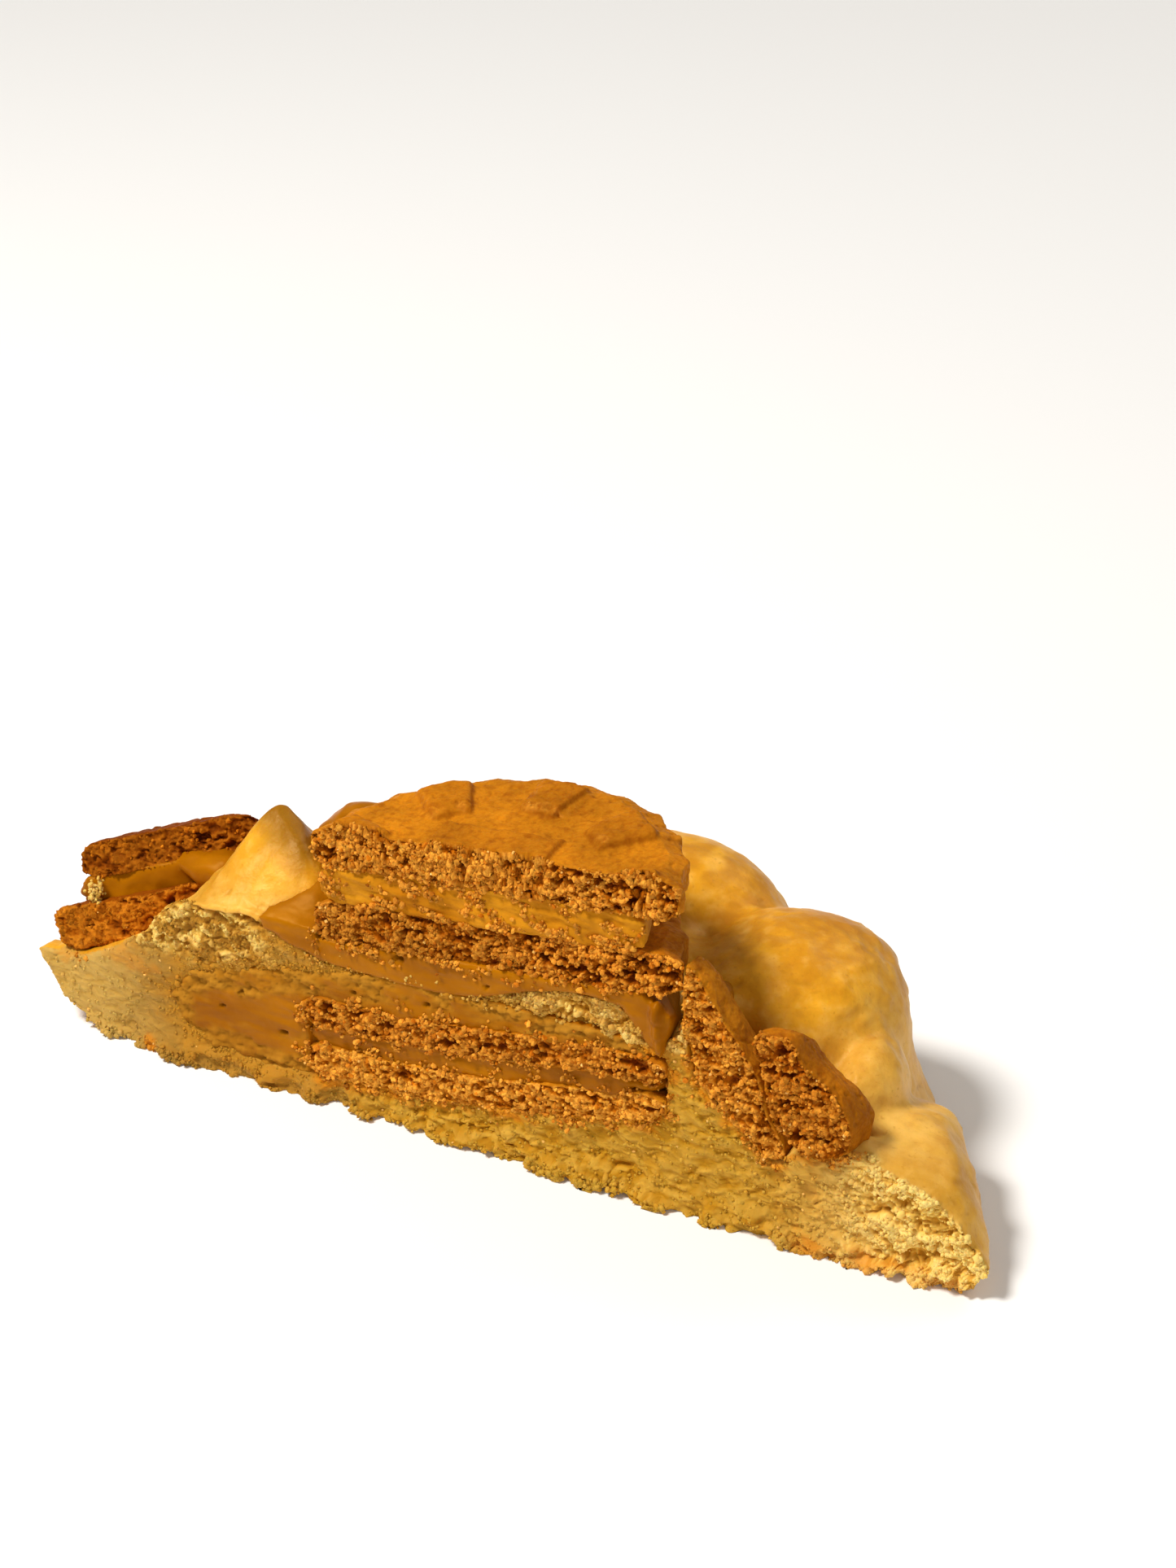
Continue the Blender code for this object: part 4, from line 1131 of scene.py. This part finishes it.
on_cut = rise(0.5, 0.9, cut)
base_edge = on_cut * fall(0.4, 1.8, z) * rise(-0.4, 0.5, clods)
seams = on_cut * bell(np.minimum(from_spread, from_biscuit), 0.7)
lumpy = coarse * on_cut * (1.0 - depth) * (1.0 - 0.4 * left_end)
anywhere = on_cut * (0.25 + 1.4 * lumpy + base_edge + seams) * (1.1 - depth)
lumpy_places = lumpy + base_edge + 0.7 * seams
dough_crumbs("dough_crumbs_large", lumpy_places, 420, 0.14, 0.45, 1200, (-0.3, -0.08))
dough_crumbs("dough_crumbs_fine", anywhere, 7500, 0.06, 0.22, 1300, (-0.12, 0.05))
clumps = points[default_rng(1240).choice(np.nonzero(base_edge > 0.5)[0], 26)]
clumped = base_edge * bell(distance_to(clumps, points, base_edge > 0.0), 0.55)
dough_crumbs("dough_crumbs_at_base", clumped, 420, 0.12, 0.4, 1250, (-0.15, 0.3))

# %% Dough crumbs that lie on the filling
def sprinkle(chance, line, count, width):
    """Places by chance along a line of points, and up to about a width beside it."""
    share = chance.uniform(0.0, len(line) - 1.0, count)
    return on_line(line, share) + chance.normal(0.0, width, (count, 3))


chance = default_rng(1350)
channel = points_of(left_cream)
channel_end = channel[channel[:, 0].argmin()]
FRONT = -0.12
SEAM = (
    (-22.0, FRONT, 16.0), (-17.5, FRONT, 16.3), (-11.5, FRONT, 16.6), (-6.4, FRONT, 16.7),
    (-3.0, FRONT, 16.4),
)
END_LINE = (channel_end + (2.2, -0.5, -0.6), channel_end + (2.0, -0.3, 1.5))
in_seam = sprinkle(chance, SEAM, 700, 0.4)
in_seam[:, 1] = FRONT + chance.normal(0.0, 0.1, len(in_seam))
kept = rise(-0.1, 0.5, layered(in_seam, (2.4, 9.0, 0.9), 1351, 2))
in_seam = in_seam[chance.random(len(in_seam)) < kept]
at_end = sprinkle(chance, END_LINE, 130, 0.36)
places = np.concatenate([in_seam, at_end])
count = len(places)
alone = np.arange(count) >= len(in_seam)
looks = {
    "cut": np.ones(count),
    "pale": np.where(alone, 0.85, 0.6 * chance.random(count)),
    "tone": chance.random(count),
    "hollow": 0.5 * chance.random(count),
    "stain": np.where(alone, 0.25, chance.random(count)),
    "orange": np.where(alone, 0.0, chance.random(count) ** 3),
    "pale_and_painted_light": np.ones(count),
    "low": np.zeros(count),
    "tan": np.zeros(count),
    "dull": np.full(count, 0.2),
}
sizes = np.where(alone, chance.uniform(0.10, 0.24, count), chance.uniform(0.06, 0.2, count))
scatter(
    "dough_crumbs_on_filling", dough_finish, shapes, places, sizes, looks, 1360
)

# %% [markdown]
# ## Sugar
#
# Coarse sugar shows as pale glints on the torn faces. The crystals are small bevelled boxes
# that stick out by half.

# %% Sugar crystals
def crystal_shapes():
    bpy.ops.mesh.primitive_cube_add(size=1.6)
    crystal = bpy.context.object
    work(crystal, "BEVEL", width=0.25, segments=1)
    work(crystal, "TRIANGULATE")
    return [taken_apart(crystal)]


sugar, tree, shader = new_finish("sugar_crystals", 0.25, 0.5)
shader.inputs["Base Color"].default_value = (0.84, 0.46, 0.11, 1.0)
let_light_in(shader, 0.3, (1.0, 0.7, 0.4), 0.3)
chance = default_rng(1400)
places = []
for host, count in (
    (top_lower, 16), (top_upper, 18), (inner_lower, 16), (inner_upper, 16), (steep_chunk, 12),
    (flat_chunk, 12), (left_lower, 5),
):
    weights = read(host, "torn") ** 3 * (1.02 - read(host, "hollow"))
    places.append(strew(host, weights, count, 1400 + count, (0.0, 0.12))[1])
places.append(strew(dough, on_cut * (1.1 - depth), 50, 1410, (-0.05, 0.04))[1])
places = np.concatenate(places)
scatter(
    "sugar_crystal_grains", sugar, crystal_shapes(), places,
    chance.uniform(0.06, 0.15, len(places)), {}, 1420, smooth=False,
)

# %% [markdown]
# ## Floor, light and camera
#
# A pale floor and large soft lights show food without hard shadows. The camera looks at the
# cut from the front right and from above, with a long lens.

# %% Floor and light
FLOOR_SIZE, FLOOR_GAP = 3.0, 0.05 * MM
bpy.ops.mesh.primitive_plane_add(size=FLOOR_SIZE, location=(0.0, 0.0, -FLOOR_GAP))
floor = bpy.context.object
floor.name = "floor"
paper, tree, shader = new_finish("pale_floor", 0.9)
shader.inputs["Base Color"].default_value = (0.92, 0.92, 0.92, 1.0)
floor.data.materials.append(paper)
floor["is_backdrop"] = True

world = bpy.data.worlds.new("soft_room")
bpy.context.scene.world = world
world.use_nodes = True
world.node_tree.nodes["Background"].inputs["Color"].default_value = (1.0, 0.98, 0.95, 1.0)
world.node_tree.nodes["Background"].inputs["Strength"].default_value = 0.22


def soft_light(name, place, size, watts):
    light = bpy.data.lights.new(name, "AREA")
    light.shape = "DISK"
    light.size = size
    light.energy = watts
    light.color = (1.0, 0.97, 0.92)
    lamp = added(name, light)
    lamp.location = place
    lamp.rotation_euler = (MIDDLE - Vector(place)).to_track_quat("-Z", "Y").to_euler()


MIDDLE = Vector((0.0, -0.01, 0.015))
soft_light("key", (-0.20, -0.18, 0.46), size=0.14, watts=3.0)
soft_light("fill", (0.45, -0.45, 0.22), size=0.5, watts=1.0)
soft_light("back", (0.15, 0.45, 0.45), size=0.4, watts=0.9)

# %% Camera
AZIMUTH, ELEVATION = math.radians(27.0), math.radians(31.3)
CAMERA_PLACE, FOCAL_LENGTH = np.array([159.9, -299.6, 247.1]), 103.18
lens = bpy.data.cameras.new("camera")
lens.lens = FOCAL_LENGTH
lens.sensor_width = 36.0
lens.clip_end = 10.0
camera = added("camera", lens)
camera.location = (CAMERA_PLACE + CUT_PLACE) * MM
camera.rotation_euler = (math.pi / 2.0 - ELEVATION, 0.0, AZIMUTH)
bpy.context.scene.camera = camera
bpy.context.scene.view_settings.view_transform = "Standard"
print("camera place in mm:", [round(v / MM, 1) for v in camera.location])

# %% Sizes and finish
new_low, new_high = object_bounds()
sizes = {"cad": [list(cad_low), list(cad_high)], "visual": [list(new_low), list(new_high)]}
print("visual box in mm:", [[round(v / MM, 1) for v in corner] for corner in sizes["visual"]])
